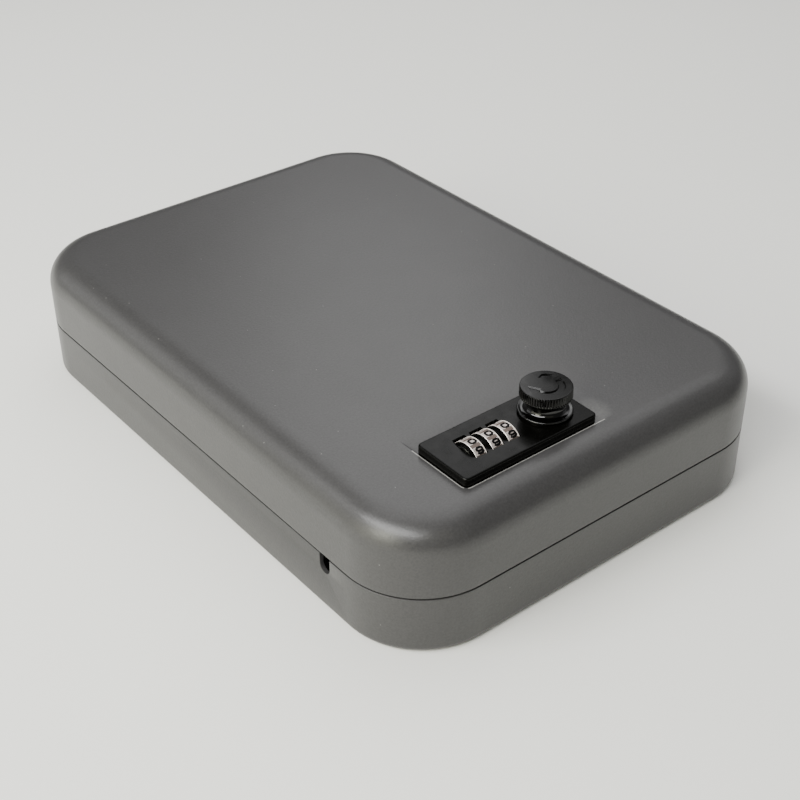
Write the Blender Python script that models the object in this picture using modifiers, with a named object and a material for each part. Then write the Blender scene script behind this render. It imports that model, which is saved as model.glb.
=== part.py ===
"""Portable lock box: two drawn steel shells on a piano hinge, closed by a three-dial knob lock.

Frame: +X to the right, +Y to the hinge, +Z up; origin under the middle of the box.
At rest the lid is closed, the dials show 0-0-0 and the knob is turned to open.
"""

import math

import bmesh
import bpy
from mathutils import Matrix, Vector

MM = 0.001
GAP = 0.3 * MM  # between pieces that touch

# Box
LENGTH, WIDTH, HEIGHT = 241 * MM, 168 * MM, 48.5 * MM
SHEET = 1.5 * MM
CORNER_R = 29 * MM
LID_EDGE_R = 11 * MM
BASE_EDGE_R = 3 * MM
PARTING_Z = 22.4 * MM
RIM_GAP = 0.4 * MM
CORNER_STEPS, EDGE_STEPS = 8, 5

# Hinge: the axis lies just inside the rear face, so the slot's edges stop the lid at 105 degrees
HINGE_Y = LENGTH / 2 - 1.7 * MM
HINGE_SLOT = (66 * MM, 2.25 * MM)  # half length, half height
BARREL_R, BORE_R, PIN_R = 1.65 * MM, 1.06 * MM, 1.0 * MM
HINGE_HALF_LENGTH = 58 * MM
KNUCKLES = 5
LEAF_FRONT_Y, LEAF_SHEET, LEAF_HEIGHT = HINGE_Y - 1.2 * MM, 1.0 * MM, 14 * MM

# Anti-pry strip and cable notch
GUARD_SHEET, GUARD_LOW_Z, GUARD_HIGH_Z, GUARD_REAR_Y = 1 * MM, 10 * MM, 26 * MM, 88 * MM
NOTCH_Y, NOTCH_WIDTH, NOTCH_DEPTH = -79.6 * MM, 5.2 * MM, 6.8 * MM

# Foam
FOAM_INSET, BASE_FOAM, LID_FOAM = 2.2 * MM, 6 * MM, 10 * MM

# Lock: everything is placed from the line of the dials and the knob's axis
LOCK_Y = -94.35 * MM
KNOB_X = -5.7 * MM
DIAL_X = [-37.1 * MM, -30.28 * MM, -23.46 * MM]
PLATE_LOW_X, PLATE_HIGH_X, PLATE_HALF_Y = -49.5 * MM, 6.4 * MM, 12 * MM
PLATE_TOP = HEIGHT + 3 * MM
RECESS_DEPTH = 0.8 * MM
RECESS_FLOOR = HEIGHT - RECESS_DEPTH
PLATE_BOTTOM = RECESS_FLOOR + GAP

DIAL_R, DIAL_PROUD, BAND = 6.5 * MM, 2.2 * MM, 4.4 * MM
DIAL_Z = PLATE_TOP + DIAL_PROUD - DIAL_R
RING_INNER_R, CORE_R, GRIP_R, GRIP_SHEET = 5.6 * MM, 5.3 * MM, 5.1 * MM, 0.65 * MM
SLOT_FRONT, SLOT_REAR, SLOT_BOW = 5.25 * MM, 6.3 * MM, 1.0 * MM  # ends from the dial axis, bow on the left
GRIP_TEETH = 20
AXLE_R = 1.15 * MM
SLEEVE_R, GATE_R, GATE_SHEET, GATE_FLOOR_R = 2.2 * MM, 3.6 * MM, 0.6 * MM, 2.6 * MM
GATE_X = BAND / 2 + GAP  # from a dial's middle to its gate disc

HOUSING_LOW_X, HOUSING_HIGH_X, HOUSING_HALF_Y = -43.6 * MM, 3.5 * MM, 10.7 * MM
HOUSING_WALL, HOUSING_BOTTOM = 1.2 * MM, 33.1 * MM
HOUSING_TOP = PLATE_BOTTOM - GAP
FLANGE_TOP = RECESS_FLOOR - SHEET - GAP
FLANGE_SHEET, FLANGE_HALF_Y = 1.2 * MM, 12.8 * MM
PARTITION_X = -19.3 * MM
COVER_TOP, COVER_SHEET = HOUSING_BOTTOM - GAP, 1.2 * MM
SCREWS = {"left": (-46.4 * MM, LOCK_Y), "rear": (-16.0 * MM, -86.5 * MM)}
SCREW_R, SCREW_HEAD_R, SCREW_TIP_Z = 1.1 * MM, 2.1 * MM, PLATE_TOP - 1.1 * MM

FENCE_LOW, FENCE_SHEET, FENCE_TOOTH = 33.9 * MM, 1.2 * MM, 0.5 * MM
ECCENTRIC, LOBE_R = 0.92 * MM, 4.8 * MM
LEVER_X = -38.6 * MM

SPINDLE_R, SPINDLE_TOP_R, SQUARE = 3.2 * MM, 2.5 * MM, 4.6 * MM
CAM_LOW, CAM_SHEET, CAM_REACH, CAM_WIDTH = 27.5 * MM, 2 * MM, 20.5 * MM, 9 * MM
KNOB_TOP, KNOB_DISC, KNOB_R, KNOB_NECK_R = HEIGHT + 12.9 * MM, 3.6 * MM, 8.75 * MM, 5.0 * MM
KNURLS = 48
COLLAR_R = 9.15 * MM
STRIKE_SHEET, STRIKE_WIDTH, STRIKE_LIP_Y = 1.5 * MM, 20 * MM, -107 * MM

TURN_STEPS = 32
PARTS = CUTTERS = None


def clear_scene():
    for obj in list(bpy.data.objects):
        bpy.data.objects.remove(obj)


def collection(name):
    made = bpy.data.collections.new(name)
    bpy.context.scene.collection.children.link(made)
    return made


def material(name, color, roughness, metallic):
    made = bpy.data.materials.new(name)
    made.use_nodes = True
    shader = made.node_tree.nodes["Principled BSDF"]
    shader.inputs["Base Color"].default_value = (*color, 1)
    shader.inputs["Roughness"].default_value = roughness
    shader.inputs["Metallic"].default_value = metallic
    return made


def place(obj, into):
    """Moves obj into one collection only."""
    for held in list(obj.users_collection):
        held.objects.unlink(obj)
    into.objects.link(obj)
    return obj


def part(obj, look, pivot=None):
    """Makes obj a finished piece: its material, its collection and the pivot that it moves with."""
    place(obj, PARTS)
    obj.data.materials.append(look)
    obj.data.shade_smooth()
    obj.data.set_sharp_from_angle(angle=math.radians(35))
    if pivot:
        bpy.context.view_layer.update()
        obj.parent = pivot
        obj.matrix_parent_inverse = pivot.matrix_world.inverted()
    return obj


def pivot_at(name, location, parent=None):
    """An empty on a joint's axis."""
    empty = bpy.data.objects.new(name, None)
    PARTS.objects.link(empty)
    empty.location = location
    bpy.context.view_layer.update()
    if parent:
        empty.parent = parent
        empty.matrix_parent_inverse = parent.matrix_world.inverted()
        bpy.context.view_layer.update()
    return empty


def mesh_object(name, bm):
    bmesh.ops.recalc_face_normals(bm, faces=bm.faces)
    mesh = bpy.data.meshes.new(name)
    bm.to_mesh(mesh)
    bm.free()
    obj = bpy.data.objects.new(name, mesh)
    bpy.context.scene.collection.objects.link(obj)
    return obj


def boolean(target, tool, operation):
    """Cuts tool from target, or joins it to it, and keeps tool as a hidden helper."""
    change = target.modifiers.new(f"{operation.lower()} {tool.name}", "BOOLEAN")
    change.operation = operation
    change.solver = "EXACT"
    change.object = tool
    tool.hide_render = True
    tool.display_type = "WIRE"
    place(tool, CUTTERS)
    return target


def cut(target, *tools):
    for tool in tools:
        boolean(target, tool, "DIFFERENCE")
    return target


def join(target, *tools):
    for tool in tools:
        boolean(target, tool, "UNION")
    return target


def block_bmesh(low, high):
    bm = bmesh.new()
    bmesh.ops.create_cube(bm, size=1)
    low, high = Vector(low), Vector(high)
    size = high - low
    scale = Matrix.Diagonal((*size, 1))
    bmesh.ops.transform(bm, matrix=Matrix.Translation((low + high) / 2) @ scale, verts=bm.verts)
    return bm


def block(name, low, high):
    """A plain box between two corners."""
    return mesh_object(name, block_bmesh(low, high))


def round_edges(bm, edges, radius, steps):
    bmesh.ops.bevel(bm, geom=edges, offset=radius, segments=steps, profile=0.5, affect="EDGES")


def end_face(bm, side):
    """The flat face that looks up (side 1) or down (side -1)."""
    bm.normal_update()
    return max(bm.faces, key=lambda f: (round(f.normal.z * side, 3), f.calc_area()))


def rounded_bmesh(low, high, corner, corner_steps, top=0.0, bottom=0.0, edge_steps=EDGE_STEPS):
    """A box with its upright edges, and if asked its top and bottom edges, rounded."""
    bm = block_bmesh(low, high)
    upright = [e for e in bm.edges if abs(e.verts[0].co.z - e.verts[1].co.z) > 1e-6]
    round_edges(bm, upright, corner, corner_steps)
    for radius, side in ((top, 1), (bottom, -1)):
        if radius:
            round_edges(bm, list(end_face(bm, side).edges), radius, edge_steps)
    return bm


def rounded_block(name, low, high, corner, corner_steps, top=0.0, bottom=0.0, edge_steps=EDGE_STEPS):
    return mesh_object(name, rounded_bmesh(low, high, corner, corner_steps, top, bottom, edge_steps))


def tapered_block(name, low_rect, low_z, high_rect, high_z):
    """A box whose bottom and top are different rectangles, each (low x, low y, high x, high y)."""
    bm = block_bmesh((-1, -1, low_z), (1, 1, high_z))
    middle = (low_z + high_z) / 2
    for vert in bm.verts:
        rect = high_rect if vert.co.z > middle else low_rect
        vert.co.x = rect[2] if vert.co.x > 0 else rect[0]
        vert.co.y = rect[3] if vert.co.y > 0 else rect[1]
    return mesh_object(name, bm)


def rod(name, radius, start, end, sides=TURN_STEPS):
    """A cylinder between two points of a line along X or Z."""
    start, end = Vector(start), Vector(end)
    along = end - start
    bm = bmesh.new()
    bmesh.ops.create_cone(
        bm, cap_ends=True, segments=sides, radius1=radius, radius2=radius, depth=along.length
    )
    obj = mesh_object(name, bm)
    obj.location = (start + end) / 2
    if abs(along.x) > abs(along.z):
        obj.rotation_euler = (0, math.radians(90), 0)
    return obj


def toothed_disc(name, radius, root_radius, teeth, start, end):
    """A disc along X or Z with small straight teeth round its rim."""
    obj = rod(name, radius, start, end, sides=2 * teeth)
    half_pitch = math.pi / teeth
    for vert in obj.data.vertices:
        if round(math.atan2(vert.co.y, vert.co.x) / half_pitch) % 2:
            vert.co.xy *= root_radius / radius
    return obj


def turned(name, profile, location, along_x=False, steps=TURN_STEPS):
    """A ring turned from a closed profile of (radius, height), outer side first, top to bottom."""
    mesh = bpy.data.meshes.new(name)
    count = len(profile)
    edges = [(i, (i + 1) % count) for i in range(count)]
    mesh.from_pydata([(r, 0, h) for r, h in profile], edges, [])
    obj = bpy.data.objects.new(name, mesh)
    bpy.context.scene.collection.objects.link(obj)
    obj.location = location
    if along_x:
        obj.rotation_euler = (0, math.radians(90), 0)
    screw = obj.modifiers.new("turn", "SCREW")
    screw.axis = "Z"
    screw.steps = screw.render_steps = steps
    screw.use_merge_vertices = True
    screw.merge_threshold = 0.01 * MM
    return obj


def tube_profile(inner, outer, low, high):
    return [(outer, high), (outer, low), (inner, low), (inner, high)]


def drawn_shell(name, low_z, high_z, edge_radius, closed_side):
    """A pan of steel sheet: rounded in plan, rounded at its closed end and open at the other."""
    bm = rounded_bmesh(
        (-WIDTH / 2, -LENGTH / 2, low_z),
        (WIDTH / 2, LENGTH / 2, high_z),
        CORNER_R,
        CORNER_STEPS,
        top=edge_radius if closed_side > 0 else 0,
        bottom=edge_radius if closed_side < 0 else 0,
    )
    bmesh.ops.delete(bm, geom=[end_face(bm, -closed_side)], context="FACES_ONLY")
    shell = mesh_object(name, bm)
    sheet = shell.modifiers.new("sheet", "SOLIDIFY")
    sheet.thickness = SHEET
    sheet.offset = -1
    sheet.use_even_offset = True
    return shell


def hinge_slot(name, low_z, high_z):
    """Cutter for the strip of rear wall that the hinge barrel takes."""
    return block(name, (-HINGE_SLOT[0], HINGE_Y - 3 * MM, low_z), (HINGE_SLOT[0], LENGTH / 2 + 2 * MM, high_z))


def notch_cutters(name):
    """Round-bottomed notch for a security cable, cut down from the base's left rim."""
    half = NOTCH_WIDTH / 2
    low_x, high_x = -WIDTH / 2 - 2 * MM, -WIDTH / 2 + 6 * MM
    round_z = PARTING_Z - NOTCH_DEPTH + half
    upright = block(f"{name}_slot", (low_x, NOTCH_Y - half, round_z), (high_x, NOTCH_Y + half, GUARD_HIGH_Z + MM))
    floor = rod(f"{name}_floor", half, (low_x, NOTCH_Y, round_z), (high_x, NOTCH_Y, round_z), sides=24)
    return upright, floor


def hinge_leaf(name, side, own_knuckles):
    """A leaf against the rear wall with its share of the knuckles; side is 1 for the lid."""
    barrel = Vector((0, HINGE_Y, PARTING_Z))
    clear_z = PARTING_Z + side * (BARREL_R + 0.35 * MM)
    far_z = PARTING_Z + side * LEAF_HEIGHT
    low_z, high_z = sorted((clear_z, far_z))
    half = HINGE_HALF_LENGTH
    leaf = block(name, (-half, LEAF_FRONT_Y, low_z), (half, LEAF_FRONT_Y + LEAF_SHEET, high_z))
    pitch = 2 * half / KNUCKLES
    for index in own_knuckles:
        start = -half + index * pitch + GAP / 2
        end = start + pitch - GAP
        neck_z = sorted((clear_z + side * 0.5 * MM, PARTING_Z + side * 1.2 * MM))
        neck = block(
            f"{name}_neck_{index}",
            (start, LEAF_FRONT_Y, neck_z[0]),
            (end, LEAF_FRONT_Y + LEAF_SHEET, neck_z[1]),
        )
        knuckle = rod(
            f"{name}_knuckle_{index}", BARREL_R, barrel + Vector((start, 0, 0)), barrel + Vector((end, 0, 0))
        )
        join(leaf, join(knuckle, neck))
    reach = Vector((half + MM, 0, 0))
    cut(leaf, rod(f"{name}_bore", BORE_R, barrel - reach, barrel + reach))
    return leaf


def anti_pry_strip():
    """A steel strip inside the base's rim on three sides, which stands up into the lid."""
    inset = SHEET + GAP
    bm = rounded_bmesh(
        (-WIDTH / 2 + inset, -LENGTH / 2 + inset, GUARD_LOW_Z),
        (WIDTH / 2 - inset, LENGTH / 2 - inset, GUARD_HIGH_Z),
        CORNER_R - inset,
        CORNER_STEPS,
    )
    bmesh.ops.delete(bm, geom=[end_face(bm, 1), end_face(bm, -1)], context="FACES_ONLY")
    bmesh.ops.bisect_plane(
        bm,
        geom=list(bm.verts) + list(bm.edges) + list(bm.faces),
        plane_co=(0, GUARD_REAR_Y, 0),
        plane_no=(0, 1, 0),
        clear_outer=True,
    )
    strip = mesh_object("anti_pry_strip", bm)
    sheet = strip.modifiers.new("sheet", "SOLIDIFY")
    sheet.thickness = GUARD_SHEET
    sheet.offset = -1
    sheet.use_even_offset = True
    return cut(strip, *notch_cutters("strip_notch"))


def foam_pad(name, low_z, high_z, top, bottom):
    inset = SHEET + FOAM_INSET
    return rounded_block(
        name,
        (-WIDTH / 2 + inset, -LENGTH / 2 + inset, low_z),
        (WIDTH / 2 - inset, LENGTH / 2 - inset, high_z),
        CORNER_R - inset,
        CORNER_STEPS,
        top=top,
        bottom=bottom,
        edge_steps=4,
    )


def strike_bracket():
    """Bracket on the base's front wall; the cam turns under its lip."""
    rear_of_strip = -LENGTH / 2 + SHEET + GUARD_SHEET + 2 * GAP
    low_x, high_x = KNOB_X - STRIKE_WIDTH / 2, KNOB_X + STRIKE_WIDTH / 2
    lip_low = CAM_LOW + CAM_SHEET + 0.5 * MM
    top = lip_low + STRIKE_SHEET
    upright = block("strike_bracket", (low_x, rear_of_strip, 8.2 * MM), (high_x, rear_of_strip + STRIKE_SHEET, top))
    lip = block("strike_lip", (low_x, rear_of_strip + 0.5 * MM, lip_low), (high_x, STRIKE_LIP_Y, top))
    return join(upright, lip)


def build_base(steel, zinc, foam):
    shell = drawn_shell("base_shell", 0, PARTING_Z - RIM_GAP / 2, BASE_EDGE_R, -1)
    cut(shell, hinge_slot("base_hinge_slot", PARTING_Z - HINGE_SLOT[1], PARTING_Z + 2 * MM))
    cut(shell, *notch_cutters("base_notch"))
    part(shell, steel)
    part(anti_pry_strip(), steel)
    part(strike_bracket(), zinc)
    foam_low = SHEET + GAP
    part(foam_pad("base_foam", foam_low, foam_low + BASE_FOAM, 0, BASE_EDGE_R - SHEET), foam)
    part(hinge_leaf("hinge_leaf_base", -1, (0, 2, 4)), zinc)
    half = HINGE_HALF_LENGTH - 0.5 * MM
    part(rod("hinge_pin", PIN_R, (-half, HINGE_Y, PARTING_Z), (half, HINGE_Y, PARTING_Z)), zinc)


def recess_block(name, low_z, high_z, spread):
    """The lock's shallow stamping: steep at its front and left, easing out to the right and rear."""
    around = 0.6 * MM
    low = (
        PLATE_LOW_X - around,
        LOCK_Y - PLATE_HALF_Y - around,
        PLATE_HIGH_X + around,
        LOCK_Y + PLATE_HALF_Y + around,
    )
    steep, gentle_x, gentle_y = 0.6 * MM * spread, 7 * MM * spread, 8 * MM * spread
    high = (low[0] - steep, low[1] - steep, low[2] + gentle_x, low[3] + gentle_y)
    return tapered_block(name, low, low_z, high, high_z)


def lock_window(name, low_z, high_z, clearance):
    return block(
        name,
        (HOUSING_LOW_X - clearance, LOCK_Y - HOUSING_HALF_Y - clearance, low_z),
        (HOUSING_HIGH_X + clearance, LOCK_Y + HOUSING_HALF_Y + clearance, high_z),
    )


def lid_shell():
    shell = drawn_shell("lid_shell", PARTING_Z + RIM_GAP / 2, HEIGHT, LID_EDGE_R, 1)
    cut(shell, hinge_slot("lid_hinge_slot", PARTING_Z - 2 * MM, PARTING_Z + HINGE_SLOT[1]))
    floor_under = RECESS_FLOOR - SHEET
    join(shell, recess_block("recess_back", floor_under, floor_under + 1.2 * MM, 1.5))
    cut(shell, recess_block("recess_face", RECESS_FLOOR, HEIGHT + RECESS_DEPTH / 2, 1.5))
    cut(shell, lock_window("lid_window", HEIGHT - 4 * MM, HEIGHT + MM, GAP))
    x, y = SCREWS["left"]
    return cut(shell, rod("lid_screw_hole", SCREW_R + 0.4 * MM, (x, y, HEIGHT - 4 * MM), (x, y, HEIGHT + MM), 20))


def lid_foam():
    high = HEIGHT - SHEET - GAP
    pad = foam_pad("lid_foam", high - LID_FOAM, high, LID_EDGE_R - SHEET, 0)
    room = block(
        "lock_room",
        (PLATE_LOW_X - 4 * MM, -LENGTH / 2, high - LID_FOAM - MM),
        (PLATE_HIGH_X + 8 * MM, LOCK_Y + PLATE_HALF_Y + 6 * MM, high + MM),
    )
    return cut(pad, room)


def dial_slot(index, dial_x):
    """Cutters for one dial's slot: the way through, a bow on its left, room for band, grip rim and gate disc."""
    left, right = dial_x - BAND / 2 - 0.25 * MM, dial_x + BAND / 2 + GAP
    front, rear = LOCK_Y - SLOT_FRONT, LOCK_Y + SLOT_REAR
    half, middle = (rear - front) / 2, (rear + front) / 2
    low_z, high_z = PLATE_BOTTOM - MM, PLATE_TOP + MM
    way = block(f"slot_way_{index}", (left, front, low_z), (right, rear, high_z))
    bow_r = (half**2 + SLOT_BOW**2) / (2 * SLOT_BOW)
    bow_x = left - SLOT_BOW + bow_r
    side = rod(f"slot_bow_{index}", bow_r, (bow_x, middle, low_z), (bow_x, middle, high_z), sides=96)
    keep = block(f"slot_bow_keep_{index}", (left - 2 * MM, front, low_z - MM), (left + 0.5 * MM, rear, high_z + MM))
    boolean(side, keep, "INTERSECT")

    def room(name, radius, low_x, high_x):
        return rod(f"{name}_{index}", radius + GAP, (low_x, LOCK_Y, DIAL_Z), (high_x, LOCK_Y, DIAL_Z), sides=48)

    band = room("slot_band", DIAL_R, left, right)
    grip = room("slot_grip", GRIP_R, dial_x - BAND / 2 - GRIP_SHEET - 0.2 * MM, dial_x)
    disc = room("slot_gate", GATE_R, dial_x, dial_x + GATE_X + GATE_SHEET + GAP)
    return way, side, band, grip, disc


def screw_hole(name, where, high_z):
    x, y = SCREWS[where]
    return rod(name, SCREW_R + GAP, (x, y, HOUSING_BOTTOM - 4 * MM), (x, y, high_z), 16)


def lock_plate():
    plate = rounded_block(
        "lock_plate",
        (PLATE_LOW_X, LOCK_Y - PLATE_HALF_Y, PLATE_BOTTOM),
        (PLATE_HIGH_X, LOCK_Y + PLATE_HALF_Y, PLATE_TOP),
        1.8 * MM,
        4,
        top=0.8 * MM,
        edge_steps=3,
    )
    for index, dial_x in enumerate(DIAL_X, 1):
        cut(plate, *dial_slot(index, dial_x))
    bore = rod("plate_bore", SPINDLE_R + 0.08 * MM, (KNOB_X, LOCK_Y, HEIGHT - MM), (KNOB_X, LOCK_Y, PLATE_TOP + MM))
    groove_ends = HOUSING_LOW_X - GAP, PARTITION_X + HOUSING_WALL / 2 + GAP
    groove = rod("axle_groove", AXLE_R + GAP, *((x, LOCK_Y, DIAL_Z) for x in groove_ends), sides=24)
    cut(plate, bore, groove)
    for where in SCREWS:
        cut(plate, screw_hole(f"plate_hole_{where}", where, SCREW_TIP_Z + GAP))
    return plate


def knob_collar():
    """Flared collar on the plate that guards the knob's neck, with a dished face."""
    low = GAP
    bore = KNOB_NECK_R + 0.3 * MM
    top_r, top = bore + 0.7 * MM, 3.6 * MM
    rim = 0.7 * MM
    flare = []
    for step in range(7):
        turn = math.radians(90) * step / 6
        radius = COLLAR_R - (COLLAR_R - top_r) * math.sin(turn)
        height = low + rim + (top - low - rim) * (1 - math.cos(turn))
        flare.append((radius, height))
    profile = [*reversed(flare), (COLLAR_R, low), (bore, low), (bore, top)]
    return turned("knob_collar", profile, (KNOB_X, LOCK_Y, PLATE_TOP), steps=48)


def lock_housing():
    """Open box behind the plate, with a flange under the lid sheet, a bearing wall and a screw post.

    The axle drops into seats that are open at the top, and the plate keeps it there.
    """
    low, high = HOUSING_LOW_X, HOUSING_HIGH_X
    half, wall = HOUSING_HALF_Y, HOUSING_WALL
    housing = block("lock_housing", (low, LOCK_Y - half, HOUSING_BOTTOM), (high, LOCK_Y + half, HOUSING_TOP))
    flange = rounded_block(
        "housing_flange",
        (PLATE_LOW_X - 0.6 * MM, LOCK_Y - FLANGE_HALF_Y, FLANGE_TOP - FLANGE_SHEET),
        (PLATE_HIGH_X, LOCK_Y + FLANGE_HALF_Y, FLANGE_TOP),
        2 * MM,
        3,
    )
    inside = block(
        "housing_inside",
        (low + wall, LOCK_Y - half + wall, HOUSING_BOTTOM - MM),
        (high - wall, LOCK_Y + half - wall, HOUSING_TOP + MM),
    )
    bearing = block(
        "bearing_wall",
        (PARTITION_X - wall / 2, LOCK_Y - half + wall / 2, 36 * MM),
        (PARTITION_X + wall / 2, LOCK_Y + half - wall / 2, HOUSING_TOP),
    )
    x, y = SCREWS["rear"]
    post = rod("screw_post", 2.3 * MM, (x, y, HOUSING_BOTTOM), (x, y, HOUSING_TOP), 20)
    join(housing, flange)
    cut(housing, inside)
    join(housing, bearing, post)
    bore_r, bore_end = AXLE_R + 0.08 * MM, PARTITION_X + 2 * MM
    bore = rod("axle_seat", bore_r, (low - MM, LOCK_Y, DIAL_Z), (bore_end, LOCK_Y, DIAL_Z), 24)
    drop_in = block(
        "axle_drop_in", (low - MM, LOCK_Y - bore_r, DIAL_Z), (bore_end, LOCK_Y + bore_r, HOUSING_TOP + MM)
    )
    cut(housing, bore, drop_in)
    for where in SCREWS:
        cut(housing, screw_hole(f"housing_hole_{where}", where, HOUSING_TOP + MM))
    return housing


def lock_back_cover():
    cover = rounded_block(
        "lock_back_cover",
        (HOUSING_LOW_X, LOCK_Y - HOUSING_HALF_Y, COVER_TOP - COVER_SHEET),
        (HOUSING_HIGH_X, LOCK_Y + HOUSING_HALF_Y, COVER_TOP),
        1.5 * MM,
        3,
    )
    low, high = COVER_TOP - COVER_SHEET - MM, COVER_TOP + MM
    bore = rod("cover_bore", SPINDLE_R + 0.08 * MM, (KNOB_X, LOCK_Y, low), (KNOB_X, LOCK_Y, high))
    lever_way = block(
        "lever_way",
        (LEVER_X - 3.2 * MM, LOCK_Y - 1.4 * MM, low),
        (LEVER_X + 1.3 * MM, LOCK_Y + 1.4 * MM, high),
    )
    return cut(cover, bore, lever_way, screw_hole("cover_hole_rear", "rear", high))


def lock_screw(name, where, head_top):
    """Pan-head screw pointing up into the lock plate, with a cross recess under its head."""
    x, y = SCREWS[where]
    profile = [
        (SCREW_R, SCREW_TIP_Z),
        (SCREW_R, head_top),
        (SCREW_HEAD_R, head_top),
        (SCREW_HEAD_R * 0.9, head_top - 0.6 * MM),
        (SCREW_HEAD_R * 0.6, head_top - 0.9 * MM),
        (0, head_top - MM),
        (0, SCREW_TIP_Z),
    ]
    screw = turned(name, profile, (x, y, 0), steps=20)
    slot_w, slot_l = 0.5 * MM, 1.3 * MM
    low, high = head_top - 1.5 * MM, head_top - 0.45 * MM
    cut(screw, block(f"{name}_cross_a", (x - slot_l, y - slot_w / 2, low), (x + slot_l, y + slot_w / 2, high)))
    return cut(screw, block(f"{name}_cross_b", (x - slot_w / 2, y - slot_l, low), (x + slot_w / 2, y + slot_l, high)))


def code_sleeve(index, dial_x):
    """Sleeve on the axle with a gate disc; its gate faces the front when the digit is the code's."""
    low, high = -BAND / 2, GATE_X + GATE_SHEET
    inner = AXLE_R + 0.08 * MM
    profile = [(GATE_R, high), (GATE_R, GATE_X), (SLEEVE_R, GATE_X), (SLEEVE_R, low), (inner, low), (inner, high)]
    sleeve = turned(f"code_sleeve_{index}", profile, (dial_x, LOCK_Y, DIAL_Z), along_x=True)
    gate = block(
        f"gate_{index}",
        (dial_x + GATE_X - 0.1 * MM, LOCK_Y - GATE_R - MM, DIAL_Z - 1.5 * MM),
        (dial_x + high + MM, LOCK_Y - GATE_FLOOR_R, DIAL_Z + 1.5 * MM),
    )
    return cut(sleeve, gate)


def detent_spring():
    """Leaf spring on the housing's rear wall with one finger for each dial's toothed rim."""
    rear = LOCK_Y + HOUSING_HALF_Y - HOUSING_WALL - GAP
    sheet = 0.3 * MM
    strip = block(
        "detent_spring",
        (DIAL_X[0] - 4.2 * MM, rear - sheet, HOUSING_BOTTOM + GAP),
        (DIAL_X[2] + 3 * MM, rear, 36 * MM),
    )
    nub_r, nub_z = 0.45 * MM, DIAL_Z - GAP
    nub_y = LOCK_Y + GRIP_R + GAP + nub_r
    for index, dial_x in enumerate(DIAL_X, 1):
        left, right = dial_x - BAND / 2 - GRIP_SHEET, dial_x - BAND / 2 - 0.15 * MM
        finger = block(f"finger_{index}", (left, rear - sheet, 35.5 * MM), (right, rear, nub_z + sheet / 2))
        tab = block(f"finger_tab_{index}", (left, nub_y, nub_z - sheet / 2), (right, rear, nub_z + sheet / 2))
        nub = rod(f"finger_nub_{index}", nub_r, (left, nub_y, nub_z), (right, nub_y, nub_z), 12)
        join(strip, join(finger, tab, nub))
    return strip


def fence_plate():
    """Sliding fence: a yoke round the spindle's lobe and three teeth that stop just short of the gate discs."""
    high = FENCE_LOW + FENCE_SHEET
    front = LOCK_Y - 7.8 * MM
    first, last = DIAL_X[0] + GATE_X, DIAL_X[2] + GATE_X
    bar = block("fence_plate", (first - 1.2 * MM, front, FENCE_LOW), (KNOB_X, front + 6.5 * MM, high))
    yoke = rounded_block(
        "fence_yoke",
        (KNOB_X - 7.4 * MM, LOCK_Y - 7.8 * MM, FENCE_LOW),
        (KNOB_X + 7.4 * MM, LOCK_Y + 7.8 * MM, high),
        1.5 * MM,
        3,
    )
    lobe_y = ECCENTRIC * math.sin(math.radians(135))
    window = block(
        "fence_window",
        (KNOB_X - LOBE_R - 1.1 * MM, LOCK_Y + lobe_y - LOBE_R - 0.25 * MM, FENCE_LOW - MM),
        (KNOB_X + LOBE_R + 1.1 * MM, LOCK_Y + lobe_y + LOBE_R + 0.25 * MM, high + MM),
    )
    join(bar, yoke)
    cut(bar, window)
    for index in range(3):
        low_x = DIAL_X[index] + GATE_X + (GATE_SHEET - FENCE_TOOTH) / 2
        post = block(
            f"tooth_post_{index}",
            (low_x, front, high - 0.5 * MM),
            (low_x + FENCE_TOOTH, front + 1.6 * MM, DIAL_Z + 0.4 * MM),
        )
        tip = block(
            f"tooth_tip_{index}",
            (low_x, front + MM, DIAL_Z - MM),
            (low_x + FENCE_TOOTH, LOCK_Y - GATE_R - GAP, DIAL_Z + 0.4 * MM),
        )
        join(bar, join(post, tip))
    assert first < last
    return bar


def reset_lever():
    """Code-setting lever on the cover: a thumb pad below, a stem through the cover, a head above."""
    under = COVER_TOP - COVER_SHEET
    pad = rounded_block(
        "reset_lever",
        (LEVER_X - 2 * MM, LOCK_Y - 3 * MM, under - 1.5 * MM),
        (LEVER_X + 2 * MM, LOCK_Y + 3 * MM, under - GAP),
        MM,
        3,
    )
    stem = block(
        "lever_stem",
        (LEVER_X - 0.9 * MM, LOCK_Y - 1.1 * MM, under - MM),
        (LEVER_X + 0.9 * MM, LOCK_Y + 1.1 * MM, COVER_TOP + 0.5 * MM),
    )
    head = block(
        "lever_head",
        (LEVER_X - 1.2 * MM, LOCK_Y - 2.2 * MM, COVER_TOP + GAP),
        (LEVER_X + 0.9 * MM, LOCK_Y + 2.2 * MM, COVER_TOP + MM),
    )
    return join(pad, stem, head)


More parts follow.
